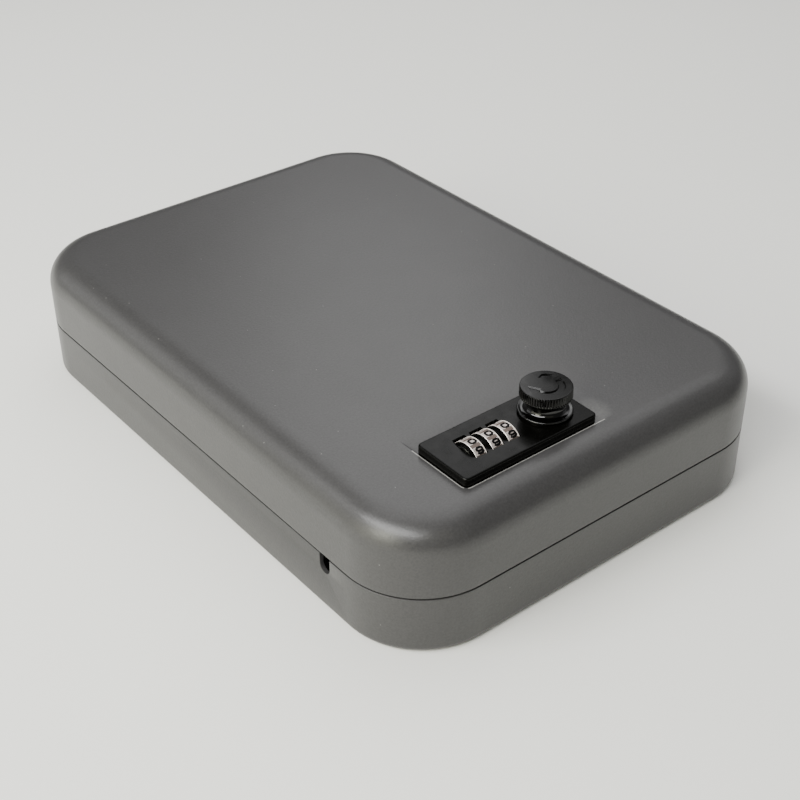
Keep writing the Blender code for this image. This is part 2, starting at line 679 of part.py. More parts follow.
def build_dial(index, dial_x, silver, black, zinc, lid_pivot):
    """One number wheel: a silver band of digits round a black core with a toothed grip rim, on its sleeve."""
    axis = Vector((dial_x, LOCK_Y, DIAL_Z))
    pivot = pivot_at(f"dial_{index}_pivot", axis, lid_pivot)
    half = BAND / 2
    ring = turned(f"number_band_{index}", tube_profile(RING_INNER_R, DIAL_R, -half, half), axis, True, 40)
    part(ring, silver, pivot)
    core = rod(f"dial_core_{index}", CORE_R, axis - Vector((half, 0, 0)), axis + Vector((half, 0, 0)), 40)
    left = half + GRIP_SHEET
    grip = toothed_disc(
        f"grip_{index}",
        GRIP_R,
        GRIP_R - 0.5 * MM,
        GRIP_TEETH,
        axis - Vector((left, 0, 0)),
        axis - Vector((half + 0.1 * MM, 0, 0)),
    )
    neck = rod(f"grip_neck_{index}", CORE_R - MM, axis - Vector((left - 0.2 * MM, 0, 0)), axis, 40)
    reach = Vector((left + MM, 0, 0))
    bore = rod(f"core_bore_{index}", SLEEVE_R + 0.15 * MM, axis - reach, axis + reach)
    part(cut(join(core, grip, neck), bore), black, pivot)
    part(code_sleeve(index, dial_x), zinc, pivot)


def knob():
    """Knurled head with a small chamfer, and the neck that turns in the collar."""
    low = KNOB_TOP - KNOB_DISC
    axis_low, axis_high = (KNOB_X, LOCK_Y, low), (KNOB_X, LOCK_Y, KNOB_TOP - 0.9 * MM)
    head = toothed_disc("knob", KNOB_R, KNOB_R - 0.25 * MM, KNURLS, axis_low, axis_high)
    cap_profile = [
        (KNOB_R - 0.9 * MM, KNOB_TOP),
        (KNOB_R - 0.3 * MM, KNOB_TOP - 0.25 * MM),
        (KNOB_R - 0.3 * MM, KNOB_TOP - 1.4 * MM),
        (0, KNOB_TOP - 1.4 * MM),
        (0, KNOB_TOP),
    ]
    cap = turned("knob_cap", cap_profile, (KNOB_X, LOCK_Y, 0), steps=48)
    neck_low = PLATE_TOP + GAP
    neck = rod("knob_neck", KNOB_NECK_R, (KNOB_X, LOCK_Y, neck_low), (KNOB_X, LOCK_Y, low + MM))
    bore = rod(
        "knob_bore",
        SPINDLE_TOP_R + GAP,
        (KNOB_X, LOCK_Y, neck_low - MM),
        (KNOB_X, LOCK_Y, KNOB_TOP - 2.2 * MM),
    )
    return cut(join(head, cap, neck), bore)


def spindle():
    """Steps from the top: the end in the knob, the shaft with its lobe, the cam's square, the thread."""
    shoulder = CAM_LOW + CAM_SHEET + GAP
    square_low = CAM_LOW - GAP

    def on_axis(z):
        return (KNOB_X, LOCK_Y, z)

    shaft = rod("spindle", SPINDLE_R, on_axis(shoulder), on_axis(PLATE_TOP))
    end = rod("spindle_end", SPINDLE_TOP_R, on_axis(PLATE_TOP - MM), on_axis(KNOB_TOP - 2.5 * MM))
    offset = Vector((ECCENTRIC * math.cos(math.radians(135)), ECCENTRIC * math.sin(math.radians(135)), 0))
    lobe = rod(
        "spindle_lobe",
        LOBE_R,
        Vector(on_axis(FENCE_LOW - 0.2 * MM)) + offset,
        Vector(on_axis(FENCE_LOW + FENCE_SHEET + 0.2 * MM)) + offset,
    )
    half = SQUARE / 2
    square = block(
        "spindle_square",
        (KNOB_X - half, LOCK_Y - half, square_low),
        (KNOB_X + half, LOCK_Y + half, shoulder + MM),
    )
    thread = rod("spindle_thread", 1.6 * MM, on_axis(square_low - 3.7 * MM), on_axis(square_low + MM), 24)
    return join(shaft, end, lobe, square, thread)


def latch_cam():
    """Flat cam with a round hub and a round-ended arm; at rest it points left, clear of the strike."""
    high = CAM_LOW + CAM_SHEET
    half = CAM_WIDTH / 2
    end_x = KNOB_X - CAM_REACH + half
    cam = rod("latch_cam", 5.5 * MM, (KNOB_X, LOCK_Y, CAM_LOW), (KNOB_X, LOCK_Y, high))
    arm = block("cam_arm", (end_x, LOCK_Y - half, CAM_LOW), (KNOB_X, LOCK_Y + half, high))
    tip = rod("cam_tip", half, (end_x, LOCK_Y, CAM_LOW), (end_x, LOCK_Y, high))
    hole_half = SQUARE / 2 + GAP
    hole = block(
        "cam_square_hole",
        (KNOB_X - hole_half, LOCK_Y - hole_half, CAM_LOW - MM),
        (KNOB_X + hole_half, LOCK_Y + hole_half, high + MM),
    )
    return cut(join(cam, arm, tip), hole)


def cam_nut(high_z):
    low_z = high_z - 2.2 * MM
    nut = rod("cam_nut", 4.0 * MM, (KNOB_X, LOCK_Y, low_z), (KNOB_X, LOCK_Y, high_z), sides=6)
    bore = rod("nut_bore", 1.6 * MM + GAP, (KNOB_X, LOCK_Y, low_z - MM), (KNOB_X, LOCK_Y, high_z + MM), 24)
    return cut(nut, bore)


def build_knob(black, zinc, lid_pivot):
    pivot = pivot_at("knob_pivot", (KNOB_X, LOCK_Y, PLATE_TOP), lid_pivot)
    part(knob(), black, pivot)
    part(spindle(), zinc, pivot)
    part(latch_cam(), zinc, pivot)
    washer_high = CAM_LOW - GAP
    washer_low = washer_high - 0.8 * MM
    washer = turned(
        "cam_washer",
        tube_profile(1.6 * MM + GAP, 4.5 * MM, washer_low, washer_high),
        (KNOB_X, LOCK_Y, 0),
    )
    # The square ends inside the washer's height, so the washer is cut to pass it.
    part(cut(washer, block_around_square("washer_square", washer_low)), zinc, pivot)
    part(cam_nut(washer_low - GAP), zinc, pivot)


def block_around_square(name, low_z):
    half = SQUARE / 2 + GAP
    return block(
        name,
        (KNOB_X - half, LOCK_Y - half, CAM_LOW - GAP - 0.05 * MM),
        (KNOB_X + half, LOCK_Y + half, CAM_LOW + MM),
    )


def build_lock(black, zinc, silver, lid_pivot):
    part(lock_plate(), black, lid_pivot)
    part(knob_collar(), black, lid_pivot)
    part(lock_housing(), black, lid_pivot)
    part(lock_back_cover(), black, lid_pivot)
    part(lock_screw("lock_screw_left", "left", FLANGE_TOP - FLANGE_SHEET - GAP), zinc, lid_pivot)
    part(lock_screw("lock_screw_rear", "rear", COVER_TOP - COVER_SHEET - GAP), zinc, lid_pivot)
    axle = rod(
        "dial_axle",
        AXLE_R,
        (HOUSING_LOW_X + 0.2 * MM, LOCK_Y, DIAL_Z),
        (PARTITION_X + HOUSING_WALL / 2, LOCK_Y, DIAL_Z),
        24,
    )
    part(axle, zinc, lid_pivot)
    part(detent_spring(), zinc, lid_pivot)
    for index, dial_x in enumerate(DIAL_X, 1):
        build_dial(index, dial_x, silver, black, zinc, lid_pivot)
    fence_pivot = pivot_at("fence_pivot", (KNOB_X, LOCK_Y, FENCE_LOW), lid_pivot)
    part(fence_plate(), zinc, fence_pivot)
    lever_pivot = pivot_at("reset_lever_pivot", (LEVER_X, LOCK_Y, COVER_TOP), lid_pivot)
    part(reset_lever(), zinc, lever_pivot)
    build_knob(black, zinc, lid_pivot)


def build_lid(steel, zinc, foam, black, silver):
    lid_pivot = pivot_at("lid_pivot", (0, HINGE_Y, PARTING_Z))
    part(lid_shell(), steel, lid_pivot)
    part(lid_foam(), foam, lid_pivot)
    part(hinge_leaf("hinge_leaf_lid", 1, (1, 3)), zinc, lid_pivot)
    build_lock(black, zinc, silver, lid_pivot)


clear_scene()
PARTS = collection("lock_box")
CUTTERS = collection("cutters")
STEEL = material("grey_powder_coat", (0.16, 0.16, 0.165), 0.55, 0.0)
BLACK = material("black_lock", (0.02, 0.02, 0.019), 0.35, 0.0)
SILVER = material("silver_band", (0.62, 0.58, 0.55), 0.35, 0.9)
ZINC = material("zinc_plate", (0.55, 0.55, 0.53), 0.4, 1.0)
FOAM = material("grey_foam", (0.06, 0.06, 0.065), 0.95, 0.0)
build_base(STEEL, ZINC, FOAM)
build_lid(STEEL, ZINC, FOAM, BLACK, SILVER)
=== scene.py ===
import math

import bmesh
import bpy
from mathutils import Matrix, Vector
from mathutils.geometry import delaunay_2d_cdt


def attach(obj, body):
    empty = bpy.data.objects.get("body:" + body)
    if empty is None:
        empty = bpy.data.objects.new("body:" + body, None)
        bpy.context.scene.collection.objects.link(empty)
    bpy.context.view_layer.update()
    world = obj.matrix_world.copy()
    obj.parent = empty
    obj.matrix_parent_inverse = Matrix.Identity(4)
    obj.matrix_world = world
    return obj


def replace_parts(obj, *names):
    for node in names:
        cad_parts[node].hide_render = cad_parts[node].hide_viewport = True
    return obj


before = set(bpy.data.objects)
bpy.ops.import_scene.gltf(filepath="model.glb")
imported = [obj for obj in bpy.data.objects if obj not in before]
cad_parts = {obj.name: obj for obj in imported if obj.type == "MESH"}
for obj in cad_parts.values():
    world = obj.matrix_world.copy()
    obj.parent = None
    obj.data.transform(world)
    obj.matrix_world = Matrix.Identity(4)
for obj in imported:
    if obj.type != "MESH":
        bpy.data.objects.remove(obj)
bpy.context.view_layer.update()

MM = 0.001

# ---------------------------------------------------------------- sizes, in millimetres
LENGTH, WIDTH, HEIGHT = 241.0, 168.0, 48.5
SHEET, CORNER_R, LID_EDGE_R, BASE_EDGE_R = 1.5, 29.0, 11.0, 3.0
PARTING_Z, RIM_GAP, RIM_ROUND = 22.4, 0.62, 0.16
HINGE_Y = LENGTH / 2 - 1.7
SLOT_HALF_X, SLOT_HALF_Z = 66.0, 2.25
LOCK_Y, KNOB_X = -94.35, -5.7
DIAL_X = (-37.1, -30.28, -23.46)
PLATE_LOW_X, PLATE_HIGH_X, PLATE_HALF_Y = -49.5, 6.4, 12.0
PLATE_TOP, PLATE_BOTTOM, RECESS_DEPTH = 51.5, 48.0, 0.8
DIAL_R, DIAL_Z, BAND, RING_INNER_R = 6.5, 47.2, 4.4, 5.6
GRIP_R, GRIP_SHEET, CORE_R, CORE_BORE_R = 5.1, 0.65, 5.3, 2.36
SLOT_FRONT, SLOT_REAR, SLOT_BOW = 5.25, 6.3, 1.0
KNOB_TOP, KNOB_LOW, KNOB_R, NECK_R = 61.4, 57.8, 8.75, 5.0
COLLAR_R, COLLAR_TOP = 9.15, 55.1
HOUSING_LOW_X, HOUSING_HIGH_X, HOUSING_HALF_Y = -43.6, 3.5, 10.7
SCREW_LEFT, SCREW_REAR = (-46.4, LOCK_Y), (-16.0, -86.5)
PLATE_SCREW_R, PLATE_SCREW_TOP, LID_SCREW_R = 1.4, 50.7, 1.5
NOTCH_Y, NOTCH_HALF, NOTCH_DEPTH = -79.6, 2.6, 6.8
GAP = 0.3  # between pieces that don't touch


# ---------------------------------------------------------------- mesh helpers
def made(name, bm, body, smooth=35.0):
    """A finished piece from a bmesh whose units are millimetres."""
    bmesh.ops.scale(bm, vec=(MM, MM, MM), verts=bm.verts)
    bmesh.ops.recalc_face_normals(bm, faces=bm.faces)
    mesh = bpy.data.meshes.new(name)
    bm.to_mesh(mesh)
    bm.free()
    obj = bpy.data.objects.new(name, mesh)
    bpy.context.scene.collection.objects.link(obj)
    mesh.shade_smooth()
    mesh.set_sharp_from_angle(angle=math.radians(smooth))
    if body:
        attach(obj, body)
    return obj


def quarter_turn(steps):
    """Angles from 0 to 90 degrees, in radians."""
    return [math.radians(90 * i / steps) for i in range(steps + 1)]


def rounded_loop(half_x, half_y, radius, steps=20, centre=(0, 0)):
    """Points of a rounded rectangle, counter-clockwise."""
    points = []
    for sx, sy, start in ((1, 1, 0), (-1, 1, 90), (-1, -1, 180), (1, -1, 270)):
        for i in range(steps + 1):
            a = math.radians(start + 90 * i / steps)
            points.append(
                (
                    centre[0] + sx * (half_x - radius) + radius * math.cos(a),
                    centre[1] + sy * (half_y - radius) + radius * math.sin(a),
                )
            )
    return points


def ring(bm, points, z):
    """Vertices on flat points, at one height or at a list of heights."""
    if not hasattr(z, "__len__"):
        z = [z] * len(points)
    return [bm.verts.new((x, y, h)) for (x, y), h in zip(points, z)]


def bridge(bm, first, second):
    """Quads between two closed loops of equal length."""
    count = len(first)
    for i in range(count):
        j = (i + 1) % count
        bm.faces.new((first[i], first[j], second[j], second[i]))


def bridge_all(bm, loops):
    for first, second in zip(loops, loops[1:]):
        bridge(bm, first, second)


def fill_between(bm, outer, hole):
    """Flat faces between an outer loop and a hole in it."""
    verts = [*outer, *hole]
    count = len(outer)
    edges = [(i, (i + 1) % count) for i in range(count)]
    edges += [(count + i, count + (i + 1) % len(hole)) for i in range(len(hole))]
    flat = [v.co.xy for v in verts]
    points, _, faces, origins, _, _ = delaunay_2d_cdt(flat, edges, [], 0, 1e-6)
    source = [verts[o[0]] for o in origins]
    rings = [[v.co.xy for v in loop] for loop in (outer, hole)]
    for face in faces:
        middle = sum((points[i] for i in face), Vector((0, 0))) / len(face)
        if inside_loop(middle, rings[0]) and not inside_loop(middle, rings[1]):
            bm.faces.new([source[i] for i in face])


def inside_loop(point, loop):
    """Even-odd test."""
    crossings = 0
    for a, b in zip(loop, [*loop[1:], loop[0]]):
        if (a.y > point.y) != (b.y > point.y):
            if point.x < a.x + (point.y - a.y) * (b.x - a.x) / (b.y - a.y):
                crossings += 1
    return crossings % 2 == 1


def cutter_box(name, low, high):
    low, high = Vector(low), Vector(high)
    bm = bmesh.new()
    done = bmesh.ops.create_cube(bm, size=1)
    matrix = Matrix.Translation((low + high) / 2) @ Matrix.Diagonal((*(high - low), 1))
    bmesh.ops.transform(bm, matrix=matrix, verts=done["verts"])
    return made(name, bm, None)


def cutter_rod(name, radius, start, end, sides):
    start, end = Vector(start), Vector(end)
    along = end - start
    turn = Vector((0, 0, 1)).rotation_difference(along).to_matrix().to_4x4()
    bm = bmesh.new()
    done = bmesh.ops.create_cone(
        bm, cap_ends=True, segments=sides, radius1=radius, radius2=radius, depth=along.length
    )
    bmesh.ops.transform(bm, matrix=Matrix.Translation((start + end) / 2) @ turn, verts=done["verts"])
    return made(name, bm, None)


def cutter_prism(name, points, low_z, high_z):
    """A closed solid from a flat outline."""
    bm = bmesh.new()
    low, high = ring(bm, points, low_z), ring(bm, points, high_z)
    bridge(bm, low, high)
    bm.faces.new(list(reversed(low)))
    bm.faces.new(high)
    return made(name, bm, None)


def cut(obj, *cutters, bevel=0.0, limit=50.0, segments=2):
    """Cuts with the exact solver, softens the new edges and applies it all."""
    for tool in cutters:
        change = obj.modifiers.new("cut", "BOOLEAN")
        change.operation, change.solver, change.object = "DIFFERENCE", "EXACT", tool
    if bevel:
        soften(obj, bevel, limit, segments)
    bpy.context.view_layer.update()
    graph = bpy.context.evaluated_depsgraph_get()
    mesh = bpy.data.meshes.new_from_object(obj.evaluated_get(graph))
    obj.modifiers.clear()
    mesh.name = obj.name
    obj.data = mesh
    for tool in cutters:
        bpy.data.objects.remove(tool)
    mesh.shade_smooth()
    mesh.set_sharp_from_angle(angle=math.radians(35))


def flatten_shading(obj):
    """Large flat faces set the shading at their edges, so that they look flat."""
    change = obj.modifiers.new("flat_shading", "WEIGHTED_NORMAL")
    change.mode = "FACE_AREA"
    change.weight = 100
    change.keep_sharp = True


def soften(obj, width, limit=40.0, segments=2):
    change = obj.modifiers.new("soften", "BEVEL")
    change.width = width * MM
    change.segments = segments
    change.limit_method = "ANGLE"
    change.angle_limit = math.radians(limit)
    change.use_clamp_overlap = True
    change.harden_normals = False
    return obj


# ---------------------------------------------------------------- materials
FINE_GRAIN, COAT_GRAIN, FOAM_GRAIN = 0.00002, 0.00008, 0.0002  # depths in metres


def shader(name, color, roughness, metallic=0.0, specular=0.5):
    mat = bpy.data.materials.new(name)
    mat.use_nodes = True
    tree = mat.node_tree
    bsdf = tree.nodes["Principled BSDF"]
    bsdf.inputs["Base Color"].default_value = (*color, 1)
    bsdf.inputs["Roughness"].default_value = roughness
    bsdf.inputs["Metallic"].default_value = metallic
    bsdf.inputs["Specular IOR Level"].default_value = specular
    return mat, tree, bsdf


def node(tree, kind, **values):
    made_node = tree.nodes.new(kind)
    for key, value in values.items():
        if key in made_node.inputs:
            made_node.inputs[key].default_value = value
        else:
            setattr(made_node, key, value)
    return made_node


def noise(tree, scale, detail=3.0, roughness=0.55, stretch=None):
    coord = node(tree, "ShaderNodeTexCoord")
    out = coord.outputs["Object"]
    if stretch:
        mapping = node(tree, "ShaderNodeMapping")
        mapping.inputs["Scale"].default_value = stretch
        tree.links.new(out, mapping.inputs["Vector"])
        out = mapping.outputs["Vector"]
    tex = node(tree, "ShaderNodeTexNoise", Scale=scale, Detail=detail, Roughness=roughness)
    tree.links.new(out, tex.inputs["Vector"])
    return tex.outputs["Fac"]


def ramp(tree, fac, low, high, first=0.35, last=0.65):
    """Maps first..last to low..high, each a colour or a grey."""
    made_ramp = node(tree, "ShaderNodeValToRGB")
    for stop, value, position in zip(made_ramp.color_ramp.elements, (low, high), (first, last)):
        stop.position = position
        stop.color = (*value, 1) if hasattr(value, "__len__") else (value, value, value, 1)
    tree.links.new(fac, made_ramp.inputs["Fac"])
    return made_ramp.outputs["Color"]


# A mix node's sockets for two colours and their factor, and the one that the mixed colour leaves by.
MIX_A, MIX_B, MIX_FACTOR, MIX_RESULT = 6, 7, 0, 2


def mix(tree, a, b, fac, blend="MIX"):
    made_mix = node(tree, "ShaderNodeMix", data_type="RGBA", blend_type=blend)
    for socket, value in ((MIX_A, a), (MIX_B, b), (MIX_FACTOR, fac)):
        if hasattr(value, "is_output"):
            tree.links.new(value, made_mix.inputs[socket])
        else:
            made_mix.inputs[socket].default_value = value
    return made_mix.outputs[MIX_RESULT]


def bump(tree, bsdf, height, strength, distance):
    made_bump = node(tree, "ShaderNodeBump", Strength=strength, Distance=distance)
    tree.links.new(height, made_bump.inputs["Height"])
    tree.links.new(made_bump.outputs["Normal"], bsdf.inputs["Normal"])


def scaled(color, k):
    return tuple(c * k for c in color)


def powder_coat(name, painted_light_at=None):
    """Fine-textured grey powder coat: slight clouding, grain, and a few tiny pale specks.

    The optional place, in metres, is the middle of a painted patch of light that makes the coat paler about
    it.
    """
    grey, speck, painted_light = (0.0407, 0.0397, 0.0402), (0.16, 0.157, 0.15, 1), (0.15, 0.148, 0.14, 1)
    speck_reach, cells_without = 0.055, 0.86
    patch_inner, patch_outer = 0.0015, 0.0075
    mat, tree, bsdf = shader(name, grey, 0.34)
    clouds = ramp(tree, noise(tree, 28, 2), scaled(grey, 0.97), scaled(grey, 1.03), 0.3, 0.7)
    grain = ramp(tree, noise(tree, 1400, 2, 0.7), 0.82, 1.18, 0.3, 0.7)
    colored = mix(tree, clouds, grain, 1.0, "MULTIPLY")
    coord = node(tree, "ShaderNodeTexCoord")
    cells = node(tree, "ShaderNodeTexVoronoi", Scale=260.0, Randomness=1.0)
    tree.links.new(coord.outputs["Object"], cells.inputs["Vector"])
    near = node(tree, "ShaderNodeMath", operation="LESS_THAN")
    near.inputs[1].default_value = speck_reach
    tree.links.new(cells.outputs["Distance"], near.inputs[0])
    split = node(tree, "ShaderNodeSeparateColor")
    tree.links.new(cells.outputs["Color"], split.inputs["Color"])
    rare = node(tree, "ShaderNodeMath", operation="GREATER_THAN")
    rare.inputs[1].default_value = cells_without
    tree.links.new(split.outputs[0], rare.inputs[0])
    both = node(tree, "ShaderNodeMath", operation="MULTIPLY")
    tree.links.new(near.outputs[0], both.inputs[0])
    tree.links.new(rare.outputs[0], both.inputs[1])
    surface = mix(tree, colored, speck, both.outputs[0])
    # Painted light: the coat turns paler about that place, fading outwards.
    if painted_light_at:
        reach = node(tree, "ShaderNodeVectorMath", operation="DISTANCE")
        tree.links.new(coord.outputs["Object"], reach.inputs[0])
        reach.inputs[1].default_value = painted_light_at
        near_patch = ramp(tree, reach.outputs["Value"], 1.0, 0.0, patch_inner, patch_outer)
        mottle = ramp(tree, noise(tree, 900, 3, 0.7), 0.25, 0.85, 0.3, 0.7)
        surface = mix(tree, surface, painted_light, mix(tree, near_patch, mottle, 1.0, "MULTIPLY"))
    tree.links.new(surface, bsdf.inputs["Base Color"])
    rough = ramp(tree, noise(tree, 60, 3), 0.33, 0.35)
    tree.links.new(rough, bsdf.inputs["Roughness"])
    bump(tree, bsdf, noise(tree, 1100, 3, 0.6), 0.6, COAT_GRAIN)
    return mat


def black_satin(name, color, roughness, specular, strength=0.2, spread=0.05):
    mat, tree, bsdf = shader(name, color, roughness, specular=specular)
    tone = ramp(tree, noise(tree, 90, 3), scaled(color, 0.8), scaled(color, 1.2), 0.3, 0.7)
    tree.links.new(tone, bsdf.inputs["Base Color"])
    rough = ramp(tree, noise(tree, 240, 3), roughness - spread, roughness + spread, 0.3, 0.7)
    tree.links.new(rough, bsdf.inputs["Roughness"])
    bump(tree, bsdf, noise(tree, 1500, 2), strength, FINE_GRAIN)
    return mat


def metal(name, color, roughness, stretch=(1, 1, 1), metallic=1.0, contrast=0.12, scale=700):
    mat, tree, bsdf = shader(name, color, roughness, metallic=metallic)
    tone = ramp(tree, noise(tree, 55, 3), scaled(color, 1 - contrast), scaled(color, 1 + contrast), 0.3, 0.7)
    streak = ramp(tree, noise(tree, scale, 3, 0.6, stretch), 0.88, 1.1, 0.3, 0.7)
    tree.links.new(mix(tree, tone, streak, 1.0, "MULTIPLY"), bsdf.inputs["Base Color"])
    rough = ramp(tree, noise(tree, scale, 2, 0.6, stretch), roughness - 0.08, roughness + 0.1, 0.3, 0.7)
    tree.links.new(rough, bsdf.inputs["Roughness"])
    bump(tree, bsdf, noise(tree, scale * 1.6, 2, 0.6, stretch), 0.12, FINE_GRAIN)
    return mat


def foam_material():
    color = (0.035, 0.035, 0.038)
    mat, tree, bsdf = shader("open_cell_foam", color, 0.95, specular=0.15)
    cells = ramp(tree, noise(tree, 1300, 3, 0.75), scaled(color, 0.35), scaled(color, 1.7), 0.35, 0.65)
    clouds = ramp(tree, noise(tree, 45, 2), 0.85, 1.15, 0.3, 0.7)
    tree.links.new(mix(tree, cells, clouds, 1.0, "MULTIPLY"), bsdf.inputs["Base Color"])
    bsdf.inputs["Sheen Weight"].default_value = 0.2
    bump(tree, bsdf, noise(tree, 1100, 3, 0.75), 0.6, FOAM_GRAIN)
    return mat


# Middle of the painted patch of light on the lid's coat, by the lock plate's right end.
PAINTED_LIGHT_AT = (0.0088, -0.1, 0.048)
ALONG, AROUND = (1, 14, 14), (12, 1, 1)  # streaks along the wheels' axle, or round it

COAT = powder_coat("grey_powder_coat")
# The lid's coat carries the painted patch of light.
LID_COAT = powder_coat("grey_powder_coat_rubbed", PAINTED_LIGHT_AT)
# Pale colour that paints a highlight along the rim of the lock's recess.
PAINTED_HIGHLIGHT = metal("painted_edge_highlight", (0.34, 0.335, 0.32), 0.45, metallic=0.2)
PLATE_BLACK = black_satin("satin_black", (0.0012, 0.0012, 0.0009), 0.25, 0.14)
KNOB_BLACK = black_satin("knob_black", (0.0014, 0.0014, 0.0012), 0.12, 0.22, strength=0.05)
GLOSS_BLACK = black_satin("gloss_black", (0.001, 0.001, 0.0009), 0.1, 0.45, strength=0.03, spread=0.02)
CORE_BLACK = black_satin("core_black", (0.003, 0.003, 0.0027), 0.25, 0.3)
INK = black_satin("digit_ink", (0.0015, 0.0015, 0.0015), 0.6, 0.1)
SILVER = metal("silver_rim", (0.8, 0.74, 0.71), 0.34, ALONG, 0.5, 0.05, 900)
CELL = metal("silver_cell", (0.46, 0.41, 0.39), 0.42, AROUND, 0.35, 0.06, 900)
SEPARATOR = metal("brushed_separator", (0.13, 0.1, 0.088), 0.5, AROUND, 0.4, 0.12, 1400)
ZINC = metal("zinc_plate", (0.62, 0.61, 0.58), 0.34, contrast=0.14)
DARK_STEEL = metal("blackened_steel", (0.09, 0.088, 0.085), 0.42, metallic=0.8, contrast=0.15)
FOAM = foam_material()


def paint(obj, *mats):
    """Fills the object's material slots; its faces keep their slot numbers."""
    while len(obj.data.materials) < len(mats):
        obj.data.materials.append(None)
    for index, mat in enumerate(mats):
        obj.data.materials[index] = mat
    return obj


# ---------------------------------------------------------------- shells
def sweep(bm, profile):
    """Walks a rounded rectangle's wall through (inset, z) points; returns every loop."""
    loops = []
    for inset, z in profile:
        points = rounded_loop(WIDTH / 2 - inset, LENGTH / 2 - inset, CORNER_R - inset)
        loops.append(ring(bm, points, z))
    bridge_all(bm, loops)
    return loops


def wall_profile(edge_r, face_z, rim_z, side):
    """Section of a drawn pan: flat face's rim, rounded edge, wall, rounded rim, and back up inside.

    side is 1 for the lid, whose face is above its rim, and -1 for the base.
    """
    outer = [
        (edge_r - edge_r * math.sin(t), face_z - side * edge_r * (1 - math.cos(t))) for t in quarter_turn(14)
    ]
    r = RIM_ROUND
    near_rim, off_rim = r + 1.2, r + 6
    walls = [(0, rim_z + side * off_rim), (0, rim_z + side * near_rim)]
    rim = [(r - r * math.cos(t), rim_z + side * (r - r * math.sin(t))) for t in quarter_turn(4)]
    rim_in = [(SHEET - r + r * math.sin(t), rim_z + side * (r - r * math.cos(t))) for t in quarter_turn(4)]
    walls_in = [(SHEET, rim_z + side * near_rim), (SHEET, rim_z + side * off_rim)]
    inner_r = edge_r - SHEET
    inner = [
        (edge_r - inner_r * math.cos(t), face_z - side * (edge_r - inner_r * math.sin(t)))
        for t in quarter_turn(10)
    ]
    return outer + walls + rim + rim_in + walls_in + inner


def rect_loop(low_x, low_y, high_x, high_y, radius, steps=6):
    centre = ((low_x + high_x) / 2, (low_y + high_y) / 2)
    return rounded_loop((high_x - low_x) / 2, (high_y - low_y) / 2, radius, steps, centre)


def split_straights(points, parts=14, longest=5):
    """The same loop with its long straight edges cut into short ones."""
    split = []
    for a, b in zip(points, points[1:] + points[:1]):
        count = parts if math.dist(a, b) > longest else 1
        for k in range(count):
            split.append((a[0] + (b[0] - a[0]) * k / count, a[1] + (b[1] - a[1]) * k / count))
    return split


def recess_loops():
    """The lock's stamping from the lid's face down to its floor, as (points, depth).

    It is steep at the plate's front and left and rises gently towards the right and the rear.
    """
    # The painted highlight reaches this far onto the flat face past the steep wall.
    around, highlight_width = 0.25, 0.34
    low_x, low_y = PLATE_LOW_X - around, LOCK_Y - PLATE_HALF_Y - around
    high_x, high_y = PLATE_HIGH_X + around, LOCK_Y + PLATE_HALF_Y + around
    steep, gentle_x, gentle_y = 0.2, 9.0, 9.5
    lip_corner, wall_corner = 2.5, 2.2
    count = 14
    lip = (low_x - steep - highlight_width, low_y - steep - highlight_width, high_x + gentle_x + highlight_width, high_y + gentle_y + highlight_width)
    loops = [(split_straights(rect_loop(*lip, lip_corner)), 0.0)]
    for i in range(count + 1):
        t = i / count
        out = 1 - t
        rect = (low_x - steep * out, low_y - steep * out, high_x + gentle_x * out, high_y + gentle_y * out)
        loops.append((split_straights(rect_loop(*rect, wall_corner)), RECESS_DEPTH * t * t))
    return loops


def mark_painted_highlight(recess, highlight_slot=1):
    """The steep edge at the plate's front and left, painted pale as a highlight along its rim."""
    near, past_rear, past_right = 0.2, 0.6, 3.6
    for first, second in zip(recess[:4], recess[1:5]):
        for a, b in zip(first, second):
            for face in set(a.link_faces) & set(b.link_faces):
                middle = face.calc_center_median()
                at_left = middle.x < PLATE_LOW_X - near and middle.y < LOCK_Y + PLATE_HALF_Y + past_rear
                at_front = middle.y < LOCK_Y - PLATE_HALF_Y - near and middle.x < PLATE_HIGH_X + past_right
                if at_left or at_front:
                    face.material_index = highlight_slot


def hinge_slot(name, low_z, high_z):
    """Cutter for the opening that the hinge fills in both rear rims."""
    return cutter_box(name, (-SLOT_HALF_X, HINGE_Y - 3, low_z), (SLOT_HALF_X, LENGTH / 2 + 2, high_z))


def lid_shell():
    bm = bmesh.new()
    loops = sweep(bm, wall_profile(LID_EDGE_R, HEIGHT, PARTING_Z + RIM_GAP / 2, 1))
    half_y = HOUSING_HALF_Y + GAP
    window = rect_loop(HOUSING_LOW_X - GAP, LOCK_Y - half_y, HOUSING_HIGH_X + GAP, LOCK_Y + half_y, 0.6)
    inset = LID_EDGE_R + 0.8
    level = rounded_loop(WIDTH / 2 - inset, LENGTH / 2 - inset, CORNER_R - inset)
    holes = []
    for boundary, drop in ((loops[0], 0.0), (loops[-1], SHEET)):
        recess = [ring(bm, points, HEIGHT - drop - depth) for points, depth in recess_loops()]
        support = ring(bm, level, HEIGHT - drop)
        bridge(bm, boundary, support)
        fill_between(bm, support, recess[0])
        bridge_all(bm, recess)
        # The top face's rim at the plate's front and left gets a painted highlight.
        if not drop:
            mark_painted_highlight(recess)
        hole = ring(bm, window, HEIGHT - drop - RECESS_DEPTH)
        fill_between(bm, recess[-1], hole)
        holes.append(hole)
    bridge(bm, *holes)
    bmesh.ops.remove_doubles(bm, verts=bm.verts, dist=1e-5)
    shell = made("lid_shell_skin", bm, "lid")
    slot = hinge_slot("lid_slot", PARTING_Z - 2, PARTING_Z + SLOT_HALF_Z)
    hole_low, hole_high = (*SCREW_LEFT, HEIGHT - 4.5), (*SCREW_LEFT, HEIGHT + 1.5)
    screw_hole = cutter_rod("lid_hole", LID_SCREW_R, hole_low, hole_high, 24)
    cut(shell, slot, screw_hole)
    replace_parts(paint(shell, LID_COAT, PAINTED_HIGHLIGHT), "lid_shell")


